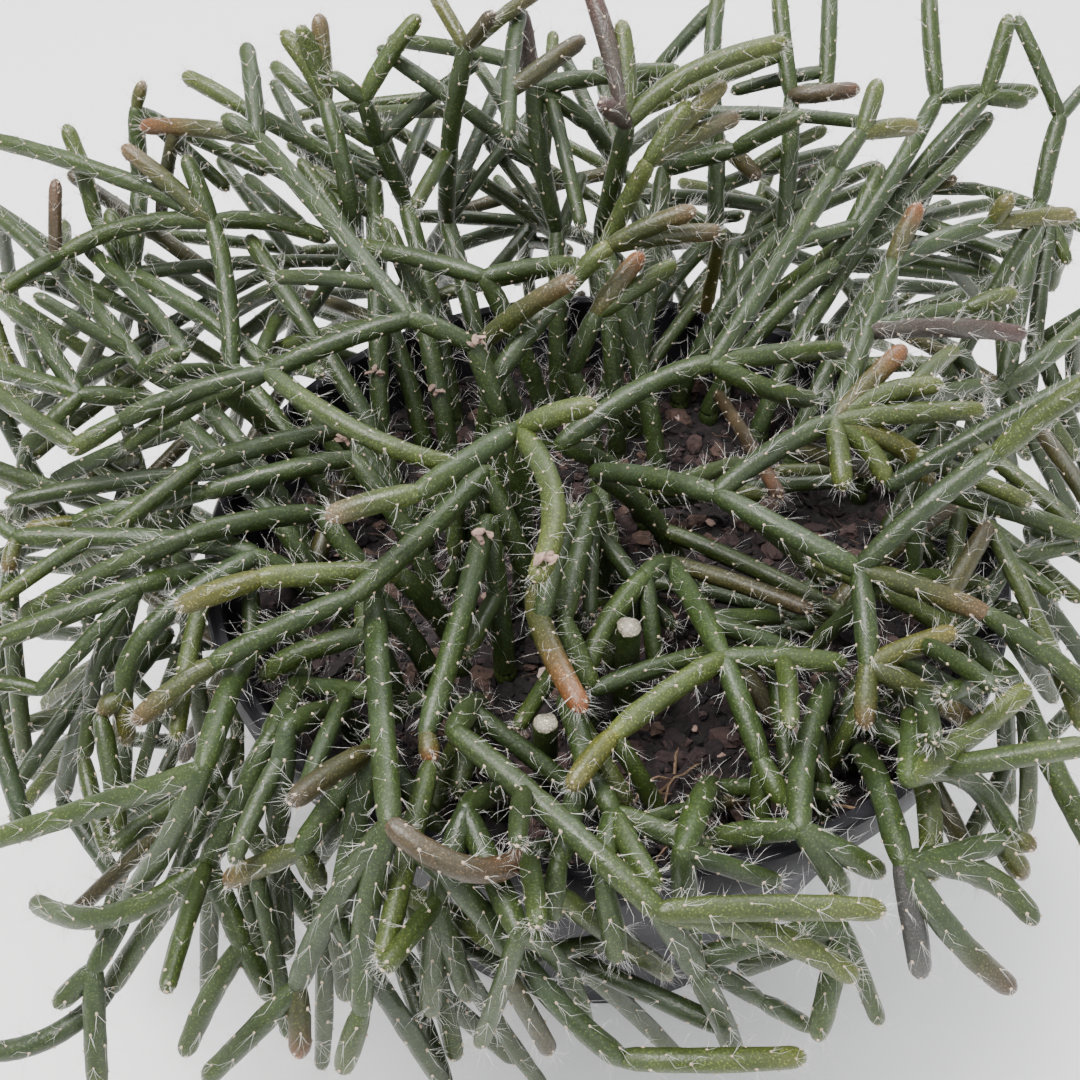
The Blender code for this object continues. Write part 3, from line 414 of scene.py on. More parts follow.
def meshPiece(name, verts, faces, look, colours=None, smooth=True):
    mesh = bpy.data.meshes.new(name)
    mesh.from_pydata((np.asarray(verts) * mm).tolist(), [], [tuple(f) for f in faces])
    if colours is not None:
        layer = mesh.color_attributes.new("tint", "FLOAT_COLOR", "POINT")
        rgba = np.ones((len(verts), 4), np.float32)
        rgba[:, :3] = colours
        layer.data.foreach_set("color", rgba.ravel())
    mesh.polygons.foreach_set("use_smooth", [smooth] * len(mesh.polygons))
    mesh.materials.append(look)
    piece = bpy.data.objects.new(name, mesh)
    bpy.context.scene.collection.objects.link(piece)
    return piece


class Look:
    # a material with short ways to its nodes, all patterns on Object coordinates
    def __init__(self, name):
        self.material = bpy.data.materials.new(name)
        self.material.use_nodes = True
        self.nodes, self.links = self.material.node_tree.nodes, self.material.node_tree.links
        self.shader = self.nodes["Principled BSDF"]
        self.coords = self.nodes.new("ShaderNodeTexCoord").outputs["Object"]

    def tint(self):
        made = self.nodes.new("ShaderNodeVertexColor")
        made.layer_name = "tint"
        return made.outputs["Color"]

    def noise(self, scale, detail=3.0, rough=0.55, coords=None):
        made = self.nodes.new("ShaderNodeTexNoise")
        made.inputs["Scale"].default_value = scale
        made.inputs["Detail"].default_value = detail
        made.inputs["Roughness"].default_value = rough
        self.links.new(self.coords if coords is None else coords, made.inputs["Vector"])
        return made.outputs["Fac"]

    def ramp(self, value, *stops):
        made = self.nodes.new("ShaderNodeValToRGB")
        while len(made.color_ramp.elements) < len(stops):
            made.color_ramp.elements.new(0.5)
        for element, (place, colour) in zip(made.color_ramp.elements, stops):
            element.position = place
            element.color = (*colour, 1) if isinstance(colour, tuple) else (colour, colour, colour, 1)
        self.links.new(value, made.inputs["Fac"])
        return made.outputs["Color"]

    def mix(self, kind, factor, one, two):
        made = self.nodes.new("ShaderNodeMix")
        made.data_type = "RGBA"
        made.blend_type = kind
        for socket, value in ((0, factor), (6, one), (7, two)):
            if hasattr(value, "is_linked"):
                self.links.new(value, made.inputs[socket])
            else:
                made.inputs[socket].default_value = value if socket == 0 else (*value, 1)
        return made.outputs[2]

    def bump(self, height, strength, distance, normal=None):
        made = self.nodes.new("ShaderNodeBump")
        made.inputs["Strength"].default_value = strength
        made.inputs["Distance"].default_value = distance
        self.links.new(height, made.inputs["Height"])
        if normal is not None:
            self.links.new(normal, made.inputs["Normal"])
        return made.outputs["Normal"]

    def finish(self, colour, rough, relief=None, specular=None):
        self.links.new(colour, self.shader.inputs["Base Color"])
        if hasattr(rough, "is_linked"):
            self.links.new(rough, self.shader.inputs["Roughness"])
        else:
            self.shader.inputs["Roughness"].default_value = rough
        if relief is not None:
            self.links.new(relief, self.shader.inputs["Normal"])
        if specular is not None:
            self.shader.inputs["Specular IOR Level"].default_value = specular
        return self.material


def plainLook(name, scale, rough, dark, light):
    look = Look(name)
    return look.finish(look.ramp(look.noise(scale, 2), (0.3, dark), (0.7, light)), rough)


def tintLook(name, rough, scale, strength):
    # the piece's own tint, broken up by grain
    look = Look(name)
    grain = look.ramp(look.noise(scale, 4), (0.3, 0.6), (0.7, (1.3, 1.28, 1.25)))
    colour = look.mix("MULTIPLY", 1.0, look.tint(), grain)
    return look.finish(colour, rough, look.bump(look.noise(scale * 1.5, 4), strength, 0.0004))


cameraPlan = {"sensor": 36, "clip": (0.01, 20)}


def makeCamera():
    data = bpy.data.cameras.new("photo_camera")
    data.sensor_width = cameraPlan["sensor"]
    data.lens = cameraPlan["sensor"] * focal / pictureSize
    data.clip_start, data.clip_end = cameraPlan["clip"]
    camera = bpy.data.objects.new("photo_camera", data)
    camera.location = eye * mm
    camera.rotation_euler = (math.pi / 2 - pitch, 0, 0)
    bpy.context.scene.collection.objects.link(camera)
    bpy.context.scene.camera = camera
    print("camera stands at", [round(v, 3) for v in camera.location])


stagePlan = {"size": 4.0, "colour": (0.94, 0.94, 0.94), "rough": 0.9, "aim": (0, 0, 0.1),
             "sky": (0.97, 0.98, 1.0), "skyPower": 0.98}
lightPlan = {"key": ((-0.35, -0.05, 1.15), 0.6, 25.0, (1.0, 0.99, 0.97)),
             "back": ((0.25, 0.85, 0.95), 0.9, 12.0, (0.97, 0.985, 1.0)),
             "fill": ((0.75, -0.75, 0.7), 0.9, 4.0, (1.0, 1.0, 1.0))}


def makeStage():
    deselect()
    bpy.ops.mesh.primitive_plane_add(size=stagePlan["size"])
    floor = bpy.context.object
    floor.name = "pale_floor"
    look = bpy.data.materials.new("pale_floor")
    look.use_nodes = True
    shader = look.node_tree.nodes["Principled BSDF"]
    shader.inputs["Base Color"].default_value = (*stagePlan["colour"], 1)
    shader.inputs["Roughness"].default_value = stagePlan["rough"]
    floor.data.materials.append(look)
    world = bpy.data.worlds.new("soft_sky")
    world.use_nodes = True
    back = world.node_tree.nodes["Background"]
    back.inputs["Color"].default_value = (*stagePlan["sky"], 1)
    back.inputs["Strength"].default_value = stagePlan["skyPower"]
    bpy.context.scene.world = world
    for name, (place, size, power, colour) in lightPlan.items():
        data = bpy.data.lights.new(name + "_light", "AREA")
        data.shape = "DISK"
        data.size = size
        data.energy = power
        data.color = colour
        lamp = bpy.data.objects.new(name + "_light", data)
        lamp.location = place
        aim = Vector(stagePlan["aim"]) - Vector(place)
        lamp.rotation_euler = aim.to_track_quat("-Z", "Y").to_euler()
        bpy.context.scene.collection.objects.link(lamp)
    print("stage ready")


tints = {  # stem colours from the joint to the tip
    "old": ((0.032, 0.054, 0.013), (0.038, 0.062, 0.013)),
    "mid": ((0.038, 0.062, 0.013), (0.055, 0.082, 0.016)),
    "young": ((0.049, 0.075, 0.015), (0.076, 0.102, 0.020)),
    "light": ((0.062, 0.087, 0.018), (0.105, 0.126, 0.026)),
    "yellow": ((0.082, 0.089, 0.015), (0.160, 0.131, 0.037)),
    "olive": ((0.055, 0.052, 0.015), (0.082, 0.057, 0.031)),
    "ochre": ((0.058, 0.070, 0.016), (0.148, 0.089, 0.043)),
    "rust": ((0.055, 0.059, 0.016), (0.225, 0.074, 0.024)),
    "orange": ((0.072, 0.068, 0.018), (0.230, 0.072, 0.024)),
    "plum": ((0.064, 0.046, 0.039), (0.094, 0.052, 0.048)),
    "brown": ((0.070, 0.049, 0.024), (0.112, 0.052, 0.030)),
    "dull": ((0.040, 0.064, 0.017), (0.105, 0.060, 0.038)),
    "pink": ((0.060, 0.084, 0.020), (0.200, 0.130, 0.085)),
    "grey": ((0.066, 0.061, 0.059), (0.082, 0.077, 0.075)),
}
tinted = {
    "spray_01": {"AAAAA": "rust", "AAAAB": "mid", "AAABC": "young", "AAABAA": "young", "AAAAC": "old"},
    "spray_02": {"AAA": "pink", "AB": "light", "AC": "light"},
    "spray_03": {"AAAAA": "light", "AAAAB": "yellow"},
    "spray_04": {"AAAFAA": "orange", "AAAFABA": "yellow", "AAAFABB": "yellow", "AAAFBA": "light",
                 "AAAFC": "plum", "AAAG": "orange", "AAAB": "light", "AAAC": "light", "AAAD": "light",
                 "AAAE": "yellow", "AAAA": "light", "AABAA": "light", "AABB": "ochre", "AABCA": "yellow",
                 "AABCB": "ochre", "AABCC": "ochre", "AABBA": "mid"},
    "spray_05": {"AAAA": "yellow", "AAA": "light"},
    "spray_06": {"AAA": "plum", "AAB": "light", "AAC": "plum", "AAD": "light"},
    "spray_07": {"AA": "light", "AAA": "light", "AAB": "yellow", "AAC": "ochre"},
    "spray_08": {"AAAA": "ochre", "AAAB": "ochre", "AAA": "light"},
    "spray_09": {"AA": "ochre"}, "spray_10": {"AAA": "orange", "AAB": "young"},
    "spray_13": {"AAA": "yellow", "AAB": "olive", "AAC": "ochre"},
    "spray_14": {"AAA": "plum"}, "spray_15": {"AAA": "ochre", "AAB": "light", "AAC": "young"},
    "spray_16": {"AAAA": "young"}, "spray_17": {"AAA": "light"}, "spray_18": {"AAB": "ochre"},
    "spray_20": {"AAAB": "brown"}, "spray_22": {"ABAA": "ochre", "AAA": "young"},
    "spray_24": {"AAAA": "yellow"}, "spray_25": {"ABB": "yellow", "ABA": "ochre", "AAB": "ochre"},
    "spray_27": {"AAA": "yellow", "AA": "light"}, "spray_28": {"AAD": "brown", "AAAA": "young",
                                                              "AACA": "rust", "AABAA": "light"},
    "spray_29": {"AAAA": "ochre"}, "spray_32": {"AAA": "light", "AAB": "light", "AA": "mid"},
    "spray_33": {"AAA": "orange"}, "spray_34": {"AA": "rust"}, "spray_38": {"AAA": "ochre", "AAB": "light"},
    "spray_39": {"AAA": "mid", "AAAA": "old"}, "spray_41": {"AAA": "light"},
    "spray_43": {"AA": "light", "ABA": "ochre"}, "spray_44": {"AA": "dull", "ABA": "ochre", "AD": "grey"},
    "spray_49": {"AAB": "brown"}, "spray_50": {"AAB": "olive"}, "spray_52": {"AAA": "ochre"},
}


# the shoots' tone factor is painted shade: it darkens every side shoot to stand in for the shade of the dense
# mass
stemPlan = {"seed": 4711, "points": 41, "sides": 12, "shootSides": 8, "ringStep": 2.3, "shootRings": 1.3,
            "tones": (0.88, 1.12), "pieceTones": (0.93, 1.08), "tone": 0.88, "shootShade": 0.86,
            "fade": (0.42, 0.58, 1.5),  # where the tip's colour starts, over what share, and how late
            "lowShade": (0.76, 0.24, 45, 60),  # painted shade, darker lower down where stems hang under the crown: least, rest, from this height over this much
            "shootTints": ("old",) * 6 + ("mid",) * 5 + ("young", "young", "olive", "light")}
# a stem's radius: waves by phase, pace and size, narrower necks and knots, a slimmer end with a round tip
formPlan = {"waves": 4, "wave": ((0, 6.3), (0.25, 1.6), (0.008, 0.024)), "swell": 1.04,
            "neck": (0.66, 0.34, 2.1), "knot": (0.74, 0.26, 1.9), "power": 0.6, "neckFrom": 0.2,
            "tip": 1.5, "round": (0.97, 0.03), "slim": 0.12, "slimFrom": 0.35}
# rings of points near a stem's ends, as shares of its radius, and for a cut stub in length
ringPlan = {"least": 4, "cut": (0.5, 0.12), "tip": (1.5, 1.1, 0.75, 0.45, 0.2, 0.06), "tipRoom": 1.6,
            "sunk": 0.35, "neck": (0.5, 1.2), "neckRoom": 1.7, "knot": (1, 0.4, 0, -0.4), "knotRoom": 1.3,
            "first": 0.75,  # radius of the sunk ring
            # radius of the last ring and how far its middle stands out
            "last": {"cut": (0.93, 0.05), "tip": (1, 0.25), "peg": (1, 0.35), "knot": (0.8, 0.35)}}
areolePlan = {"step": 1.15, "shootStep": 1.7, "turn": math.radians(137.5), "stray": 0.25,
              "from": 1.2, "to": 0.4, "size": (0.24, 0.38), "soilEdge": 65,
              "sunk": 0.12, "long": 1.25, "high": 0.62,  # form of the felt
              "many": (2, 3, 4, 4), "shootMany": (1, 2, 2, 3),  # bristles of an areole
              "tipSize": 0.5, "tipSunk": 0.1, "tipTurns": (0.4, 2.5, 4.6), "tipOut": 0.72, "tipBack": 0.55,
              "tipLean": 0.4, "tipSide": 0.36}
hairPlan = {"length": 4.4, "lengths": (0.5, 1.2), "radius": 0.026, "radii": (0.75, 1.1), "sunk": 0.25,
            "straight": 0.40, "bend": 0.19, "bendAt": 0.5, "bendThin": 0.8, "bendBack": 0.3,
            "lean": (0.2, 1.8), "upright": 0.65, "out": (0.45, 1.1), "across": (-1.2, 1.2),
            "moreFrom": 0.5, "fewerUnder": -0.25}
# wool as a tuft over a tip or a ring at a knot: count, place by the stem's radius, direction and length
tuftPlan = {"count": 38, "back": (0.0, 1.3), "out": (0.2, 0.75), "ahead": (0.3, 1.4), "aside": (0.2, 1.0),
            "length": (1.2, 3.6), "radii": (0.6, 1.0)}
woolPlan = {"count": 10, "out": 0.7, "ahead": (-0.3, 1.0), "length": (0.9, 2.4)}
# the rough pale tops of the cut stubs
cutPlan = {"rough": (0.25, 0.25, 0.3), "shades": (0.10, 0.36), "green": 0.9, "blue": 0.72,
           "middle": (0.40, 0.36, 0.29)}
third, fifth = 2.0944, 1.2566  # parts of a full turn
anyTurn = (0, 6.3)


# side shoots past the solids' triangle limit, each grown from a stem toward a gap that the camera sees
shootPlan = {
    "seed": 77, "visible": 330, "hidden": 60, "tries": 300000, "settleAfter": 20,
    "reach": (40, 190),  # photo pixels between a stem's point and the gap
    "length": (16, 48), "stretch": (1.05, 1.9), "deeper": (-15, 14), "rise": (-1.25, 0.65),
    "radius": (1.42, 1.72), "clearance": 0.3, "ownStem": 6, "sway": 0.04, "sag": 0.05,
    "sources": (4, 5),  # first point of a stem that a shoot can grow from, and steps to the next
    "seenFrom": 5, "leastSeen": 4, "inFront": 0.5,
    "across": 0.22,  # share that may cross in front of a stem
    "covered": 0.6,  # with this share over other stems, a shoot counts as hidden
    "heart": (520, 420),  # shoots point mostly away from here, so outward and down over the rim
    "anyWay": 0.16, "outward": 0.84, "outwardPower": 1.5,
    "crown": ((520, 540), (600, 500)),  # photo pixels of the dense crown, denser toward its middle
    "crownPower": 1.5, "openEdge": 0.6,
    "openings": [((730, 545), (66, 50)), ((835, 520), (46, 44)), ((705, 745), (84, 74)),
                 ((585, 838), (34, 22)), ((428, 612), (36, 24)), ((900, 650), (44, 44)),
                 ((920, 960), (70, 110)), ((300, 30), (70, 60)), ((880, 60), (50, 60)),
                 ((40, 640), (40, 60)), ((60, 860), (30, 50)), ((240, 990), (26, 60))],
    # single stems that stand out: where they start and end in the photo, height of the tip, tint
    "named": [((705, 425), (780, 497), 112, "brown"), ((742, 228), (705, 312), 106, "yellow"),
              ((520, 835), (588, 845), 88, "old"), ((640, 790), (745, 800), 86, "dull")],
    "namedRadius": 1.35, "namedRise": 1.2, "nearer": 0.15}
# shoots that hang over the back of the rim, under the crown and out of the camera's sight
hangPlan = {"seed": 88, "count": 80, "tries": 16000, "swing": 0.45, "rise": (-1.3, -0.2),
            "length": (20, 44), "sag": 0.08, "from": 58.0, "back": 15, "highest": 92.0, "lowest": 6.5,
            "topPixel": 215}
# how far shoots keep off the pot's wall and band, the soil, the floor and the sides of the part's box
offPlan = {"wall": 1.6, "band": 1.2, "bandFrom": 84, "over": 1, "soil": 0.3, "soilEdge": 70, "floor": 1.5,
           "box": 1, "skip": 3}
# dry papery remnants of flowers at joints, in photo pixels
remnantPlan = {"places": [(363, 365), (436, 403), (468, 352), (340, 440), (545, 560), (480, 548)],
               "seed": 31, "flakes": 5, "size": 0.95, "sizes": (0.7, 1.3), "stretch": (1.3, 0.7, 0.32),
               "spread": ((-1.5, 1.5), (-1.9, -0.4), (1.3, 2.7)),
               "colour": (0.33, 0.22, 0.18), "shades": (0.6, 1.35)}
curvePoints = 25
nothing = 1e9  # depth where no stem is seen


def unit(way):
    return way / np.linalg.norm(way)


def distances(line):
    return np.concatenate([[0], np.cumsum(np.linalg.norm(np.diff(line, axis=0), axis=1))])


def between(s, run, line):
    # points of a line at the lengths s, run being the length up to each of its points
    return np.stack([np.interp(s, run, line[:, c]) for c in range(3)], 1)


def evenSteps(line):
    run = distances(line)
    return between(np.linspace(0, run[-1], max(6, int(run[-1]) + 1)), run, line)


def bowed(start, bow, end):
    t = np.linspace(0, 1, curvePoints)[:, None]
    return evenSteps((1 - t) ** 2 * start + 2 * t * (1 - t) * bow + t ** 2 * end)


def swayed(rng, start, way, long, sag):
    # a shoot of a given direction and length that sways a little and bows upward
    sway = shootPlan["sway"]
    off = np.array((rng.uniform(-sway, sway), rng.uniform(-sway, sway), sag))
    return bowed(start, start + way * long / 2 + off * long, start + way * long)


def toPicture(points):
    # photo pixels and depth along the camera's axis
    away = points - eye
    depth = away @ lookAhead
    return middle + focal * away[:, 0] / depth, middle - focal * (away @ lookUp) / depth, depth


class Thicket:
    # every stem so far, as points in space for clearance and as depths in the picture
    def __init__(self, skeleton):
        self.points, self.radii, self.sources = [], [], []
        self.grown = {name: [] for name in sprays}
        self.depths = np.full((pictureSize, pictureSize), nothing)
        for segment in skeleton.segments:
            line = evenSteps(skeleton.curve(segment, np.linspace(0, 1, curvePoints)))
            self.add(line, segment["r"])
            if not segment["peg"]:
                first, step = shootPlan["sources"]
                places = list(range(first, len(line), step)) + [-1]
                self.sources += [(line[k], segment["spray"]) for k in places]
        self.settle()

    def add(self, line, r):
        self.points.append(line)
        self.radii.append(np.full(len(line), r))
        for x, y, depth in zip(*toPicture(line)):
            size = r * focal / depth
            x0, x1 = max(0, int(x - size)), min(pictureSize, int(x + size) + 2)
            y0, y1 = max(0, int(y - size)), min(pictureSize, int(y + size) + 2)
            if x0 < x1 and y0 < y1:
                yy, xx = np.mgrid[y0:y1, x0:x1]
                self.depths[y0:y1, x0:x1][(xx - x) ** 2 + (yy - y) ** 2 <= size * size] = depth

    def grow(self, name, line, r):
        # a new shoot that others can grow from; True if the search tree was made anew
        self.grown[name].append((line, r, None))
        self.add(line, r)
        self.sources += [(line[len(line) * 2 // 3], name), (line[-1], name)]
        due = len(self.points) - self.late > shootPlan["settleAfter"]
        if due:
            self.settle()
        return due

    def settle(self):
        # search tree over all points so far
        self.all, self.sizes = np.concatenate(self.points), np.concatenate(self.radii)
        self.tree = kdtree.KDTree(len(self.all))
        for k, place in enumerate(self.all):
            self.tree.insert(place, k)
        self.tree.balance()
        self.late = len(self.points)

    def clashes(self, line, r):
        # too near another stem, apart from the one it grows from
        line = line[np.linalg.norm(line - line[0], axis=1) > shootPlan["ownStem"]]
        for place in line:
            _, k, away = self.tree.find(place)
            if away < self.sizes[k] + r + shootPlan["clearance"]:
                return True
        late = self.points[self.late:]
        if late:
            near = np.linalg.norm(line[:, None] - np.concatenate(late)[None], axis=2)
            return bool((near < 2 * r + shootPlan["clearance"]).any())
        return False

    def seen(self, line):
        # share of the shoot that lies over another stem, and share that would hide one
        x, y, depth = toPicture(line[shootPlan["seenFrom"]:])
        last = pictureSize - 1
        inside = (x >= 0) & (x < last) & (y >= 0) & (y < last)
        if inside.sum() < shootPlan["leastSeen"]:
            return None
        behind = self.depths[y[inside].astype(int), x[inside].astype(int)]
        full = behind < nothing
        return full.mean(), (full & (depth[inside] < behind - shootPlan["inFront"])).mean()

    def sourceNear(self, px, py):
        # the stem point nearest to the camera among those close to a place in the photo
        x, y, depth = toPicture(np.array([start for start, _ in self.sources]))
        away = np.hypot(x - px, y - py)
        return self.sources[int(np.argmin(away + shootPlan["nearer"] * depth))]


def inTheWay(line, r):
    # inside the pot's wall, in the soil, on the floor or out of the part's box
    out, z = np.hypot(line[:, 0], line[:, 1]), line[:, 2]
    side = np.where(z > offPlan["bandFrom"], rimRadius - offPlan["band"], baseRadius + lean * z)
    hit = (z < potHeight + offPlan["over"] + r) & (np.abs(out - side) < r + offPlan["wall"])
    hit |= (z < soilTop + soilBump + r + offPlan["soil"]) & (out < offPlan["soilEdge"])
    hit |= (out < side) & (z < soilTop)
    hit |= z < r + offPlan["floor"]
    low, high = (np.array(corner) / mm for corner in cadBox)
    hit |= (line < low + offPlan["box"]).any(1) | (line > high - offPlan["box"]).any(1)
    return bool(hit[offPlan["skip"]:].any())


def fromMiddle(x, y, ellipse):
    # 0 in the middle of an ellipse in the photo and 1 on its edge
    (cx, cy), (rx, ry) = ellipse
    return ((x - cx) / rx) ** 2 + ((y - cy) / ry) ** 2


def openGaps(thicket):
    # pixels that no stem covers yet, without the gaps that stay open, and how likely each is taken
    yy, xx = np.nonzero(thicket.depths == nothing)
    away = fromMiddle(xx, yy, shootPlan["crown"])
    keeps = away < 1
    for opening in shootPlan["openings"]:
        keeps &= fromMiddle(xx, yy, opening) > 1
    return xx[keeps], yy[keeps], 1 - away[keeps] ** shootPlan["crownPower"]


def leavesOpen(line):
    x, y, _ = toPicture(line[[len(line) // 2, -1]])
    return all((fromMiddle(x, y, opening) > shootPlan["openEdge"]).all() for opening in shootPlan["openings"])


def growShoots(skeleton):
    rng = random.Random(shootPlan["seed"])
    thicket = Thicket(skeleton)
    namedShoots(thicket)
    makeRemnants(thicket)
    (shortest, longest), (steepest, highest) = shootPlan["length"], shootPlan["rise"]
    visible = hidden = 0
    stale = True
    for _ in range(shootPlan["tries"]):
        if stale:
            gapX, gapY, likely = openGaps(thicket)
            rootX, rootY, rootDepth = toPicture(np.array([start for start, _ in thicket.sources]))
            stale = False
        k = rng.randrange(len(gapX))
        if rng.random() > likely[k]:
            continue
        x, y = gapX[k], gapY[k]
        apart = np.hypot(rootX - x, rootY - y)
        near = np.nonzero((apart > shootPlan["reach"][0]) & (apart < shootPlan["reach"][1]))[0]
        if len(near) == 0:
            continue
        n = near[rng.randrange(len(near))]
        ahead = np.array((x - rootX[n], y - rootY[n]))
        out = np.array((rootX[n], rootY[n])) - shootPlan["heart"]
        match = ahead @ out / (np.linalg.norm(ahead) * np.linalg.norm(out) + 1)
        outward = shootPlan["outward"] * max(0, match) ** shootPlan["outwardPower"]
        if rng.random() > shootPlan["anyWay"] + outward:
            continue
        start, name = thicket.sources[n]
        depth = rootDepth[n] + rng.uniform(*shootPlan["deeper"])
        ray = lookAhead + lookUp * ((middle - y) / focal) + np.array(((x - middle) / focal, 0, 0))
        way = eye + ray * depth - start
        long = np.linalg.norm(way)
        way /= long
        long, r = long * rng.uniform(*shootPlan["stretch"]), rng.uniform(*shootPlan["radius"])
        if not (shortest < long < longest and steepest < math.asin(way[2]) < highest):
            continue
        line = swayed(rng, start, way, long, shootPlan["sag"])
        seen = thicket.seen(line)
        if seen is None or seen[1] > shootPlan["across"]:
            continue
        inSight = seen[0] < shootPlan["covered"]
        if (visible >= shootPlan["visible"]) if inSight else (hidden >= shootPlan["hidden"]):
            continue
        if not leavesOpen(line) or inTheWay(line, r) or thicket.clashes(line, r):
            continue
        visible, hidden = visible + inSight, hidden + (not inSight)
        stale = thicket.grow(name, line, r)
    print("shoots grown:", visible, "in sight and", hidden, "behind")
    hangBehind(thicket)
    return thicket.grown


def namedShoots(thicket):
    r = shootPlan["namedRadius"]
    for begin, end, z, tint in shootPlan["named"]:
        start, name = thicket.sourceNear(*begin)
        bow = (start + at(*end, z)) / 2 + np.array((0, 0, shootPlan["namedRise"]))
        line = bowed(start, bow, at(*end, z))
        thicket.grown[name].append((line, r, tint))
        thicket.add(line, r)
    thicket.settle()


def hangBehind(thicket):
    rng = random.Random(hangPlan["seed"])
    hung = 0
    for _ in range(hangPlan["tries"]):
        start, name = rng.choice(thicket.sources)
        out = math.hypot(start[0], start[1])
        if hung >= hangPlan["count"] or start[1] < hangPlan["back"] or out < hangPlan["from"]:
            continue
        turn = math.atan2(start[1], start[0]) + rng.gauss(0, hangPlan["swing"])
        rise, long = rng.uniform(*hangPlan["rise"]), rng.uniform(*hangPlan["length"])
        r = rng.uniform(*shootPlan["radius"])
        way = np.array((math.cos(turn) * math.cos(rise), math.sin(turn) * math.cos(rise), math.sin(rise)))
        line = swayed(rng, start, way, long, hangPlan["sag"])
        top = toPicture(line[[len(line) // 2, -1]])[1].min()
        if top < hangPlan["topPixel"] or line[-1][2] > hangPlan["highest"]:
            continue
        if line[:, 2].min() < hangPlan["lowest"] or inTheWay(line, r) or thicket.clashes(line, r):
            continue
        hung += 1
        thicket.grow(name, line, r)
    print("shoots hanging behind:", hung)


def makeRemnants(thicket):
    rng = random.Random(remnantPlan["seed"])
    rows = []
    for px, py in remnantPlan["places"]:
        place = thicket.sourceNear(px, py)[0]
        for _ in range(remnantPlan["flakes"]):
            spot = place + np.array([rng.uniform(*span) for span in remnantPlan["spread"]])
            size = remnantPlan["size"] * rng.uniform(*remnantPlan["sizes"])
            verts, faces = lump(rng, spot, size, remnantPlan["stretch"])
            shade = rng.uniform(*remnantPlan["shades"])
            rows.append((verts, faces, tuple(c * shade for c in remnantPlan["colour"])))
    gather("dry_remnants", rows, tintLook("papery_remnant", 0.8, 900, 0.5), "soil")


def frameAlong(line):
    # direction, and two side directions carried along the line without twist
    ahead = np.gradient(line, axis=0)
    ahead /= np.linalg.norm(ahead, axis=1)[:, None]
    sides = [unit(np.cross(ahead[0], (0.31, 0.72, 0.61)))]
    for k in range(1, len(line)):
        sides.append(unit(sides[-1] - ahead[k] * (sides[-1] @ ahead[k])))
    sides = np.array(sides)
    return ahead, sides, np.cross(ahead, sides)


class StemShape:
    # one jointed stem: its centre line by length, and its radius along it
    def __init__(self, line, r, rng, key="AA", peg=False, tip=True):
        self.line, self.run, self.r = line, distances(line), r
        self.length = self.run[-1]
        self.peg, self.tip, self.joined = peg, tip, len(key) > 1
        self.waves = [[rng.uniform(*span) for span in formPlan["wave"]] for _ in range(formPlan["waves"])]

    def place(self, s):
        s = np.atleast_1d(s)
        first, last = unit(self.line[1] - self.line[0]), unit(self.line[-1] - self.line[-2])
        past = np.minimum(s, 0)[:, None] * first + np.maximum(s - self.length, 0)[:, None] * last
        return between(s, self.run, self.line) + past

    def radius(self, s):
        # swollen in waves, narrow where it grows from a stem and where others grow on, round at a tip
        s = np.atleast_1d(np.asarray(s, float))
        r, toEnd = self.r, self.length - s
        out = np.full(len(s), r * formPlan["swell"])
        for phase, pace, size in self.waves:
            out += r * size * np.sin(phase + s * pace)
        if self.joined:
            narrow, rest, reach = formPlan["neck"]
            along = np.clip((s + formPlan["neckFrom"] * r) / (reach * r), 0, 1)
            out *= narrow + rest * along ** formPlan["power"]
        if self.tip and not self.peg:
            left = np.clip(toEnd / (formPlan["tip"] * r), 0, 1)
            most, least = formPlan["round"]
            out *= np.sqrt(np.maximum(1 - (1 - left) ** 2, 0.0)) * most + least
            out *= 1 - formPlan["slim"] * np.clip(1 - toEnd / (formPlan["slimFrom"] * self.length), 0, 1)
        elif not self.peg:
            narrow, rest, reach = formPlan["knot"]
            out *= narrow + rest * np.clip(toEnd / (reach * r), 0, 1) ** formPlan["power"]
        return out


def ringMarks(shape, ringStep):
    # lengths at which a stem has a ring of points, spaced by its radius near its ends
    r, length, peg, tip = shape.r, shape.length, shape.peg, shape.tip
    marks = list(np.linspace(0, length, max(ringPlan["least"], int(length / ringStep)) + 1))
    if peg and tip:
        marks = marks[:-1] + [length - k for k in ringPlan["cut"]]
    elif tip:
        marks = [m for m in marks if m < length - ringPlan["tipRoom"] * r]
        marks += [length - k * r for k in ringPlan["tip"]]
    if not peg:
        later = [m for m in marks[1:] if m > ringPlan["neckRoom"] * r]
        marks = [-ringPlan["sunk"] * r] + marks[:1] + [k * r for k in ringPlan["neck"]] + later
    if not tip and not peg:
        marks = [m for m in marks if m < length - ringPlan["knotRoom"] * r]
        marks += [length - k * r for k in ringPlan["knot"]]
    return np.array(marks)


def tube(shape, sides, ringStep):
    marks = ringMarks(shape, ringStep)
    line, radii = shape.place(marks), shape.radius(marks)
    if shape.joined:
        radii[0] *= ringPlan["first"]
    kind = ("cut" if shape.peg else "tip") if shape.tip else ("peg" if shape.peg else "knot")
    narrow, reach = ringPlan["last"][kind]
    radii[-1] *= narrow
    ahead, left, up = frameAlong(line)
    turn = 2 * np.pi * np.arange(sides) / sides
    ring = np.cos(turn)[None, :, None] * left[:, None] + np.sin(turn)[None, :, None] * up[:, None]
    verts = (line[:, None] + ring * radii[:, None, None]).reshape(-1, 3)
    faces = wrap(len(marks), sides)
    poles = [line[0] - ahead[0] * radii[0] * ringPlan["sunk"], line[-1] + ahead[-1] * radii[-1] * reach]
    base, last = len(verts), (len(marks) - 1) * sides
    faces += [(base, (j + 1) % sides, j) for j in range(sides)]
    faces += [(base + 1, last + j, last + (j + 1) % sides) for j in range(sides)]
    along = np.concatenate([np.repeat(marks, sides), [marks[0], marks[-1]]]) / max(shape.length, 1)
    return np.concatenate([verts, poles]), faces, np.clip(along, 0, 1)


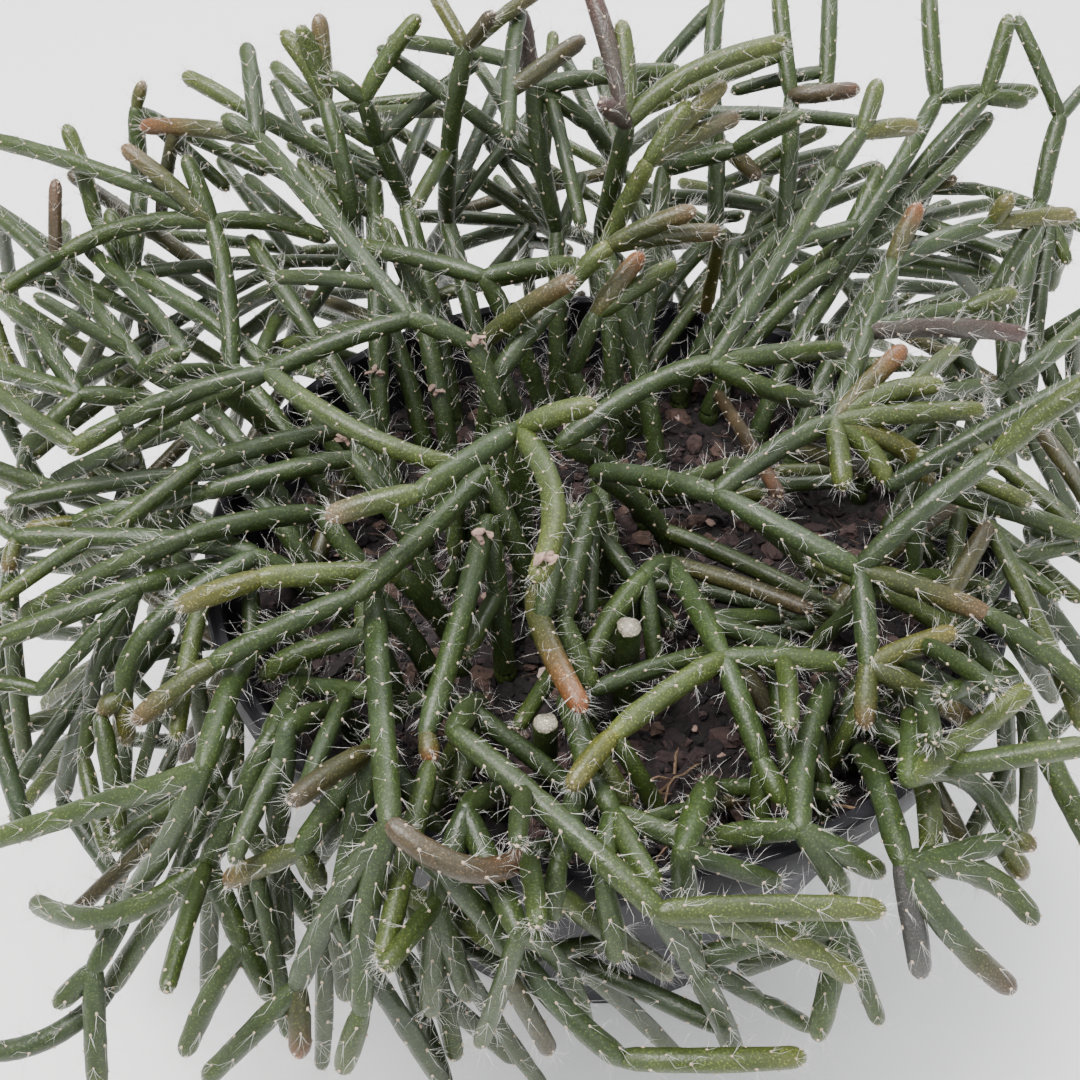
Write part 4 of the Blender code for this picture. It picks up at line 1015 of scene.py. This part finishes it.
def wrap(rings, sides, first=0, inward=False):
    # four-sided faces between rings of points, outward when the rings run up
    faces = []
    for ring in range(rings - 1):
        a = first + ring * sides
        for k in range(sides):
            m = (k + 1) % sides
            faces.append((a + k, a + sides + k, a + sides + m, a + m) if inward
                         else (a + k, a + m, a + sides + m, a + sides + k))
    return faces


def hair(out, base, way, length, radius, rng):
    # a bristle: a thin three-sided spike, some with one bend
    way = unit(way)
    side = np.cross(way, (rng.uniform(-1, 1), rng.uniform(-1, 1), rng.uniform(-1, 1)))
    side /= max(np.linalg.norm(side), 1e-6)
    other = np.cross(way, side)
    start = len(out[0])
    rings = [(base - way * hairPlan["sunk"], radius)]
    tip = base + way * length
    if rng.random() > hairPlan["straight"]:
        most = hairPlan["bend"]
        bend = (side * rng.uniform(-most, most) + other * rng.uniform(-most, most)) * length
        rings.append((base + way * length * hairPlan["bendAt"] + bend, radius * hairPlan["bendThin"]))
        tip = tip - bend * hairPlan["bendBack"]
    for centre, size in rings:
        for k in range(3):
            turn = k * third
            out[0].append(centre + (side * math.cos(turn) + other * math.sin(turn)) * size)
    out[0].append(tip)
    out[1].append((start + 2, start + 1, start))
    for n in range(len(rings)):
        a = start + 3 * n
        for k in range(3):
            m = (k + 1) % 3
            if n < len(rings) - 1:
                out[1].extend([(a + k, a + m, a + 3 + m), (a + k, a + 3 + m, a + 3 + k)])
            else:
                out[1].append((a + k, a + m, a + 3))


def cushion(out, place, normal, ahead, size):
    # the pale felt of one areole
    side = np.cross(normal, ahead)
    start = len(out[0])
    for k in range(5):
        turn = fifth * k
        around = ahead * math.cos(turn) * areolePlan["long"] + side * math.sin(turn)
        out[0].append(place - normal * areolePlan["sunk"] + around * size)
    out[0].append(place + normal * size * areolePlan["high"])
    for k in range(5):
        out[1].append((start + (k + 1) % 5, start + k, start + 5))
    out[1].append(tuple(start + k for k in range(5)))


def stemTint(name, segment):
    named = tinted.get(name, {}).get(segment["key"])
    return tints[named or ("mid" if segment["tip"] and len(segment["key"]) > 1 else "old")]


def dress(shape, rng, hairs, felt, step, many):
    # areoles in a spiral, each with its bristles, and a tuft or ring of wool at the end
    r, length, thin = shape.r, hairPlan["length"], hairPlan["radius"]
    marks = np.arange(areolePlan["from"] * r, shape.length - areolePlan["to"] * r, step)
    if len(marks) > 1:
        line, radii = shape.place(marks), shape.radius(marks)
        ahead, left, up = frameAlong(line)
        phase = rng.uniform(*anyTurn)
        for k in range(len(marks)):
            turn = phase + k * areolePlan["turn"] + rng.uniform(-areolePlan["stray"], areolePlan["stray"])
            normal = left[k] * math.cos(turn) + up[k] * math.sin(turn)
            place = line[k] + normal * radii[k]
            if place[2] < soilTop + 1 and math.hypot(place[0], place[1]) < areolePlan["soilEdge"]:
                continue
            cushion(felt, place, normal, ahead[k], rng.uniform(*areolePlan["size"]))
            toTip = marks[k] / shape.length if shape.tip else 0.0
            across = np.cross(ahead[k], normal)
            more, fewer = toTip > hairPlan["moreFrom"], normal[2] < hairPlan["fewerUnder"]
            for _ in range(rng.choice(many) + (1 if more else 0) - (2 if fewer else 0)):
                lean = rng.uniform(*hairPlan["lean"]) * (1 - hairPlan["upright"] * toTip)
                way = normal * rng.uniform(*hairPlan["out"]) + ahead[k] * lean
                way = way + across * rng.uniform(*hairPlan["across"])
                size = length * rng.uniform(*hairPlan["lengths"])
                hair(hairs, place, way, size, thin * rng.uniform(*hairPlan["radii"]), rng)
    end = shape.line[-1]
    last = unit(shape.line[-1] - shape.line[-3])
    if shape.tip:
        side = unit(np.cross(last, (0.3, 0.5, 0.8)))
        cushion(felt, end - last * areolePlan["tipSunk"], last, side, areolePlan["tipSize"])
        for turn in areolePlan["tipTurns"]:
            out = side * math.cos(turn) + np.cross(last, side) * math.sin(turn)
            place = end + (out * areolePlan["tipOut"] - last * areolePlan["tipBack"]) * r
            cushion(felt, place, out + last * areolePlan["tipLean"], last, areolePlan["tipSide"])
    for _ in range(tuftPlan["count"] if shape.tip else woolPlan["count"]):
        spin = np.array((rng.gauss(0, 1), rng.gauss(0, 1), rng.gauss(0, 1)))
        spin -= last * (spin @ last)
        spin /= max(np.linalg.norm(spin), 1e-6)
        if shape.tip:
            place = end - last * rng.uniform(*tuftPlan["back"]) * r + spin * rng.uniform(*tuftPlan["out"]) * r
            way = last * rng.uniform(*tuftPlan["ahead"]) + spin * rng.uniform(*tuftPlan["aside"])
            size = rng.uniform(*tuftPlan["length"])
        else:
            place = end + spin * woolPlan["out"] * r
            way = spin + last * rng.uniform(*woolPlan["ahead"])
            size = rng.uniform(*woolPlan["length"])
        hair(hairs, place, way, size, thin * rng.uniform(*tuftPlan["radii"]), rng)


def makeSprays(skeleton, looks):
    rng = random.Random(stemPlan["seed"])
    counts = [0, 0, 0]
    grown = growShoots(skeleton)
    for name in list(sprays) + list(stubs):
        base = rng.uniform(*stemPlan["tones"])
        hairs, felt = ([], []), ([], [])
        rows = []
        for segment in (s for s in skeleton.segments if s["spray"] == name):
            line = skeleton.curve(segment, np.linspace(0, 1, stemPlan["points"]))
            shape = StemShape(line, segment["r"], rng, segment["key"], segment["peg"], segment["tip"])
            rows.append((shape, stemTint(name, segment), stemPlan["sides"], stemPlan["ringStep"]))
            if not segment["peg"]:
                dress(shape, rng, hairs, felt, areolePlan["step"], areolePlan["many"])
        keep(stemPiece(name + "_stems", rows, base, rng, looks), name, name)
        counts[0] += pieceSize(name + "_stems")
        rows = []
        for line, r, named in grown.get(name, []):
            shape = StemShape(line, r, rng)
            drawn = rng.choice(stemPlan["shootTints"])
            step = stemPlan["ringStep"] * stemPlan["shootRings"]
            rows.append((shape, tints[named or drawn], stemPlan["shootSides"], step))
            dress(shape, rng, hairs, felt, areolePlan["shootStep"], areolePlan["shootMany"])
        if rows:
            # shoots painted darker, as painted shade
            keep(stemPiece(name + "_shoots", rows, base * stemPlan["shootShade"], rng, looks), name)
            counts[1] += pieceSize(name + "_shoots")
        if felt[0]:
            keep(meshPiece(name + "_areoles", np.array(felt[0]), felt[1], looks["felt"]), name)
            keep(meshPiece(name + "_bristles", np.array(hairs[0]), hairs[1], looks["hair"]), name)
            counts[2] += pieceSize(name + "_areoles") + pieceSize(name + "_bristles")
    print("sprays done, triangles of stems, shoots and bristles:", counts)


def pieceSize(name):
    return sum(len(p.vertices) - 2 for p in bpy.data.objects[name].data.polygons)


def stemPiece(name, rows, base, rng, looks):
    verts, faces, colours, offset = [], [], [], 0
    fadeFrom, fadeOver, late = stemPlan["fade"]
    least, rest, height, over = stemPlan["lowShade"]
    for shape, (low, high), sides, ringStep in rows:
        v, f, along = tube(shape, sides, ringStep)
        verts.append(v)
        faces += [tuple(i + offset for i in face) for face in f]
        offset += len(v)
        fade = np.clip((along - fadeFrom) / fadeOver, 0, 1)[:, None] ** late
        tone = (np.array(low) * (1 - fade) + np.array(high) * fade) * base
        tone *= rng.uniform(*stemPlan["pieceTones"])
        # painted shade: stems darker lower down, where they hang under the crown
        tone *= stemPlan["tone"] * (least + rest * np.clip((v[:, 2] - height) / over, 0, 1))[:, None]
        if shape.peg and shape.tip:
            v[-sides - 2:-1] += [[rng.uniform(-most, most) for most in cutPlan["rough"]]
                                 for _ in range(sides + 1)]
            shades = [rng.uniform(*cutPlan["shades"]) for _ in range(sides)]
            tone[-sides - 2:-2] = [(red, red * cutPlan["green"], red * cutPlan["blue"]) for red in shades]
            tone[-1] = cutPlan["middle"]
        colours.append(tone)
    return meshPiece(name, np.concatenate(verts), faces, looks["stem"], np.concatenate(colours))


def stemLooks():
    stem = Look("waxy_stem")
    dots = stem.nodes.new("ShaderNodeTexVoronoi")
    dots.inputs["Scale"].default_value = 2050
    stem.links.new(stem.coords, dots.inputs["Vector"])
    blotch = stem.ramp(stem.noise(130, 4), (0.3, (0.72, 0.76, 0.74)), (0.7, (1.22, 1.18, 1.16)))
    speck = stem.ramp(dots.outputs["Distance"], (0.12, (2.5, 2.35, 2.4)), (0.36, (0.74, 0.76, 0.74)))
    grain = stem.ramp(stem.noise(3200, 2), (0.35, (0.70, 0.72, 0.70)), (0.66, (1.36, 1.30, 1.30)))
    bloom = stem.ramp(stem.noise(75, 4), (0.50, 0.0), (0.78, 0.20))
    colour = stem.mix("MULTIPLY", 1.0, stem.tint(), blotch)
    colour = stem.mix("MULTIPLY", 0.85, colour, speck)
    colour = stem.mix("MULTIPLY", 1.0, colour, grain)
    colour = stem.mix("MIX", bloom, colour, (0.115, 0.150, 0.115))
    rough = stem.ramp(stem.noise(220, 3), (0.3, 0.34), (0.7, 0.52))
    relief = stem.bump(stem.noise(1300, 3), 0.4, 0.0003, stem.bump(dots.outputs["Distance"], 0.25, 0.00012))
    return {"stem": stem.finish(colour, rough, relief, 0.45),
            "felt": plainLook("areole_felt", 900, 0.9, (0.42, 0.31, 0.22), (0.62, 0.50, 0.38)),
            "hair": plainLook("white_bristle", 300, 0.4, (0.72, 0.71, 0.67), (0.95, 0.94, 0.91))}


potPlan = {"sides": 128, "smooth": 28, "drainHoles": 6, "drainFrom": 30, "drainRing": 30.0,
           "drainRadius": 3.5, "drainDepth": 6,
           "profile": [(69.9, 94.6), (70.9, 95.0), (71.9, 94.75), (72.4, 94.1), (72.5, 93.0), (72.3, 87.0),
                       (71.9, 86.2), (69.3, 86.0), (68.9, 85.2), (47.1, 4.0), (46.5, 1.4), (45.2, 0.0),
                       (38.0, 0.0), (37.5, 0.5), (18.5, 0.5), (18.0, 0.0), (0.0, 0.0)],
           "inside": [(0.0, 1.8), (44.3, 1.8), (45.6, 4.0), (67.5, 84.5), (69.4, 88.5), (69.7, 93.6)]}


def potLook():
    look = Look("moulded_plastic")
    stretch = look.nodes.new("ShaderNodeMapping")
    stretch.inputs["Scale"].default_value = (1, 1, 0.06)  # scuffs run up the wall
    look.links.new(look.coords, stretch.inputs["Vector"])
    colour = look.ramp(look.noise(45, 4), (0.3, (0.008, 0.0075, 0.010)), (0.7, (0.016, 0.015, 0.019)))
    scuff = look.ramp(look.noise(520, 3, coords=stretch.outputs["Vector"]), (0.55, 0.0), (0.8, 0.30))
    colour = look.mix("MIX", scuff, colour, (0.036, 0.034, 0.040))
    dust = look.ramp(look.noise(900, 2), (0.66, 0.0), (0.74, 0.5))
    colour = look.mix("MIX", dust, colour, (0.055, 0.043, 0.036))
    rough = look.ramp(look.noise(80, 3), (0.3, 0.50), (0.7, 0.66))
    return look.finish(colour, rough, look.bump(look.noise(700, 2), 0.12, 0.0002), 0.22)


def makePot():
    # the wall's outline is drawn once as an edge chain and spun round the pot's middle
    deselect()
    mesh = bpy.data.meshes.new("pot_shell")
    rows = [(r * mm, 0, z * mm) for r, z in potPlan["profile"] + potPlan["inside"]]
    foot = len(potPlan["profile"]) - 1
    mesh.from_pydata(rows, [(k, (k + 1) % len(rows)) for k in range(len(rows)) if k != foot], [])
    pot = bpy.data.objects.new("pot_shell", mesh)
    bpy.context.scene.collection.objects.link(pot)
    bpy.context.view_layer.objects.active = pot
    pot.select_set(True)
    bpy.ops.object.mode_set(mode="EDIT")
    bpy.ops.mesh.select_all(action="SELECT")
    bpy.ops.mesh.spin(steps=potPlan["sides"], angle=2 * math.pi, center=(0, 0, 0), axis=(0, 0, 1))
    bpy.ops.mesh.select_all(action="SELECT")
    bpy.ops.mesh.remove_doubles(threshold=0.00001)
    bpy.ops.mesh.normals_make_consistent(inside=False)
    bpy.ops.object.mode_set(mode="OBJECT")
    for k in range(potPlan["drainHoles"]):
        turn = math.radians(potPlan["drainFrom"] + 360 / potPlan["drainHoles"] * k)
        ring = potPlan["drainRing"]
        deselect()
        bpy.ops.mesh.primitive_cylinder_add(
            vertices=24, radius=potPlan["drainRadius"] * mm, depth=potPlan["drainDepth"] * mm,
            location=(ring * math.cos(turn) * mm, ring * math.sin(turn) * mm, 1 * mm))
        cutter = bpy.context.object
        cut = pot.modifiers.new("drain", "BOOLEAN")
        cut.object, cut.operation, cut.solver = cutter, "DIFFERENCE", "EXACT"
        bpy.context.view_layer.objects.active = pot
        bpy.ops.object.modifier_apply(modifier="drain")
        bpy.data.objects.remove(cutter)
    deselect()
    pot.select_set(True)
    bpy.ops.object.shade_smooth_by_angle(angle=math.radians(potPlan["smooth"]))
    pot.data.materials.append(potLook())
    keep(pot, "pot", "pot")
    print("pot done")


soilPlan = {"seed": 31, "rings": 84, "spokes": 200, "grain": 0.15, "edgeDrop": 0.5, "offRoots": 3.2,
            "raise": 0.3,
            "waves": ((1.5, 0.055, 0, 4), (0.9, 0.23, 40, 3)),  # height, pace, layer and octaves
            "grit": (0.5, 0.9, 80), "under": (40, 5), "foot": (43.6, 2.15)}
# loose bits: lift as a share of the size plus a length, mesh as rings and sides
bitPlan = [{"count": 3400, "inset": 1.5, "size": (0.3, 1.1), "lift": (0.2, 0), "stretch": (1.2, 0.9, 0.75),
            "mesh": (3, 5), "colours": ((0.014, 0.009, 0.010), (0.026, 0.017, 0.018), (0.050, 0.031, 0.031),
                                        (0.008, 0.006, 0.007))},
           {"count": 620, "inset": 4, "size": (1.0, 2.5), "lift": (0.1, 0), "stretch": (1.25, 0.95, 0.7),
            "mesh": (5, 8), "colours": ((0.036, 0.022, 0.022), (0.056, 0.034, 0.032), (0.020, 0.013, 0.014),
                                        (0.012, 0.008, 0.009), (0.085, 0.052, 0.042))},
           {"count": 26, "inset": 4, "size": (0.6, 1.5), "lift": (0, 1.0), "stretch": (1.5, 0.9, 0.25),
            "mesh": (4, 7), "colours": ((0.30, 0.20, 0.17), (0.42, 0.32, 0.29), (0.20, 0.13, 0.09))}]
fibrePlan = {"count": 320, "inset": 4, "length": (2.0, 7.0), "size": (0.06, 0.14), "rise": (-0.05, 0.25),
             "lift": 0.5, "colours": ((0.10, 0.060, 0.040), (0.16, 0.10, 0.065), (0.055, 0.032, 0.024))}
lumpPlan = {"tip": (-0.5, 0.5), "rough": (0.62, 1.25)}
# rootlets: places in the photo and how many lie at each
rootletPlan = {"places": (((660, 800), 6), ((815, 812), 3), ((600, 640), 2)), "wander": 6, "points": 9,
               "step": 1.7, "turn": 0.5, "lift": 1.2, "arch": 2.2, "size": (0.16, 0.3), "point": 0.15,
               "colours": ((0.30, 0.20, 0.13), (0.20, 0.13, 0.08))}


def soilHeight(x, y):
    # heaps and hollows, then lumps, then grit
    height = soilTop + soilPlan["raise"]
    for size, pace, layer, octaves in soilPlan["waves"]:
        height += size * waves.fractal(Vector((x, y, layer)) * pace, 1.0, 2.0, octaves)
    size, pace, layer = soilPlan["grit"]
    return height + size * abs(waves.noise(Vector((x, y, layer)) * pace))


def insideAt(z):
    # radius of the soil at a height
    return baseRadius + lean * z - wall - gap


def makeSoil(skeleton):
    rng = random.Random(soilPlan["seed"])
    edge = insideAt(soilTop)
    rings, spokes, grain = soilPlan["rings"], soilPlan["spokes"], soilPlan["grain"]
    turns = [2 * math.pi * k / spokes for k in range(spokes)]
    verts = [(0, 0, soilHeight(0, 0))]
    for n in range(1, rings + 1):
        r = edge * n / rings
        low = 0.0 if n < rings - 1 else soilPlan["edgeDrop"]
        for turn in turns:
            x, y = r * math.cos(turn), r * math.sin(turn)
            verts.append((x, y, soilHeight(x, y) + rng.uniform(-grain, grain) - low))
    under = [(insideAt(z), z) for z in soilPlan["under"]] + [soilPlan["foot"]]
    verts += [(r * math.cos(turn), r * math.sin(turn), z) for r, z in under for turn in turns]
    faces = [(0, 1 + k, 1 + (k + 1) % spokes) for k in range(spokes)]
    faces += wrap(rings + len(under), spokes, 1, True)
    last = 1 + (rings + len(under) - 1) * spokes
    faces.append(tuple(last + k for k in reversed(range(spokes))))
    look = Look("coir_soil")
    colour = look.ramp(look.noise(330, 6, 0.7), (0.30, (0.005, 0.0035, 0.004)), (0.52, (0.017, 0.011, 0.012)),
                       (0.74, (0.058, 0.036, 0.036)))
    look.finish(colour, 0.92, look.bump(look.noise(700, 6, 0.7), 0.9, 0.0012))
    keep(meshPiece("soil_bed", verts, faces, look.material), "soil", "soil")
    pegs = [skeleton.points[s["at"][0]][:2] for s in skeleton.segments if s["peg"]]
    scatter(rng, edge, pegs)
    print("soil done")


def lump(rng, centre, size, stretch, rings=3, sides=6):
    # an irregular closed crumb
    verts, faces = [], []
    turnZ = rng.uniform(*anyTurn)
    tip = rng.uniform(*lumpPlan["tip"])
    points = [(0, 0, 1)]
    for n in range(1, rings):
        a = math.pi * n / rings
        for k in range(sides):
            b = 2 * math.pi * (k + 0.5 * n) / sides
            points.append((math.sin(a) * math.cos(b), math.sin(a) * math.sin(b), math.cos(a)))
    points.append((0, 0, -1))
    for x, y, z in points:
        k = rng.uniform(*lumpPlan["rough"])
        x, y, z = x * size * stretch[0] * k, y * size * stretch[1] * k, z * size * stretch[2] * k
        x, z = x * math.cos(tip) - z * math.sin(tip), x * math.sin(tip) + z * math.cos(tip)
        verts.append((centre[0] + x * math.cos(turnZ) - y * math.sin(turnZ),
                      centre[1] + x * math.sin(turnZ) + y * math.cos(turnZ), centre[2] + z))
    for k in range(sides):
        faces.append((0, 1 + k, 1 + (k + 1) % sides))
    faces += wrap(rings - 1, sides, 1, True)
    end = len(points) - 1
    a = end - sides
    for k in range(sides):
        faces.append((end, a + (k + 1) % sides, a + k))
    return verts, faces


def gather(name, rows, look, slot, smooth=False):
    verts, faces, colours = [], [], []
    for v, f, colour in rows:
        faces += [tuple(i + len(verts) for i in face) for face in f]
        verts += [tuple(p) for p in v]
        colours += [colour] * len(v)
    return keep(meshPiece(name, verts, faces, look, np.array(colours), smooth), slot)


def scatter(rng, edge, pegs):
    def spot(limit):
        while True:
            r, turn = limit * math.sqrt(rng.random()), rng.uniform(0, 2 * math.pi)
            x, y = r * math.cos(turn), r * math.sin(turn)
            if all(math.hypot(x - a, y - b) > soilPlan["offRoots"] for a, b in pegs):
                return x, y
    look = tintLook("coir_crumb", 0.95, 700, 1.0)
    rows = []
    for bit in bitPlan:
        for _ in range(bit["count"]):
            x, y = spot(edge - bit["inset"])
            size = rng.uniform(*bit["size"])
            colour = rng.choice(bit["colours"])
            place = (x, y, soilHeight(x, y) + (size * bit["lift"][0] + bit["lift"][1]))
            rows.append((*lump(rng, place, size, bit["stretch"], *bit["mesh"]), colour))
    gather("coir_crumbs", rows, look, "soil")
    rows = []
    for _ in range(fibrePlan["count"]):
        x, y = spot(edge - fibrePlan["inset"])
        out = ([], [])
        turn, length = rng.uniform(*anyTurn), rng.uniform(*fibrePlan["length"])
        way = np.array((math.cos(turn), math.sin(turn), rng.uniform(*fibrePlan["rise"])))
        place = np.array((x, y, soilHeight(x, y) + fibrePlan["lift"]))
        hair(out, place, way, length, rng.uniform(*fibrePlan["size"]), rng)
        rows.append((out[0], out[1], rng.choice(fibrePlan["colours"])))
    wander, step = rootletPlan["wander"], rootletPlan["step"]
    for k, place in enumerate(place for place, count in rootletPlan["places"] for _ in range(count)):
        x, y = at(*place, soilTop)[:2]
        x, y, turn = x + rng.uniform(-wander, wander), y + rng.uniform(-wander, wander), rng.uniform(*anyTurn)
        line = []
        for n in range(rootletPlan["points"]):
            arch = rootletPlan["arch"] * math.sin(math.pi * n / (rootletPlan["points"] - 1)) * (k % 3)
            line.append((x, y, soilHeight(x, y) + rootletPlan["lift"] + arch))
            turn += rng.uniform(-rootletPlan["turn"], rootletPlan["turn"])
            x, y = x + step * math.cos(turn), y + step * math.sin(turn)
        made = thread(np.array(line), rng.uniform(*rootletPlan["size"]))
        rows.append((*made, rng.choice(rootletPlan["colours"])))
    gather("coir_fibres", rows, look, "soil")


def thread(line, size):
    # a thin rootlet, pointed at both ends
    _, left, up = frameAlong(line)
    verts, sides, last = [], 5, len(line) - 1
    for n in range(len(line)):
        r = size * (rootletPlan["point"] if n in (0, last) else 1)
        for k in range(sides):
            verts.append(line[n] + (left[n] * math.cos(fifth * k) + up[n] * math.sin(fifth * k)) * r)
    faces = wrap(len(line), sides)
    faces += [tuple(reversed(range(sides))), tuple(last * sides + k for k in range(sides))]
    return verts, faces


def main():
    makeCamera()
    makeStage()
    skeleton = Skeleton()
    skeleton.clear()
    print("stems", len(skeleton.segments), "still close", skeleton.left)
    makeSprays(skeleton, stemLooks())
    makePot()
    makeSoil(skeleton)


main()
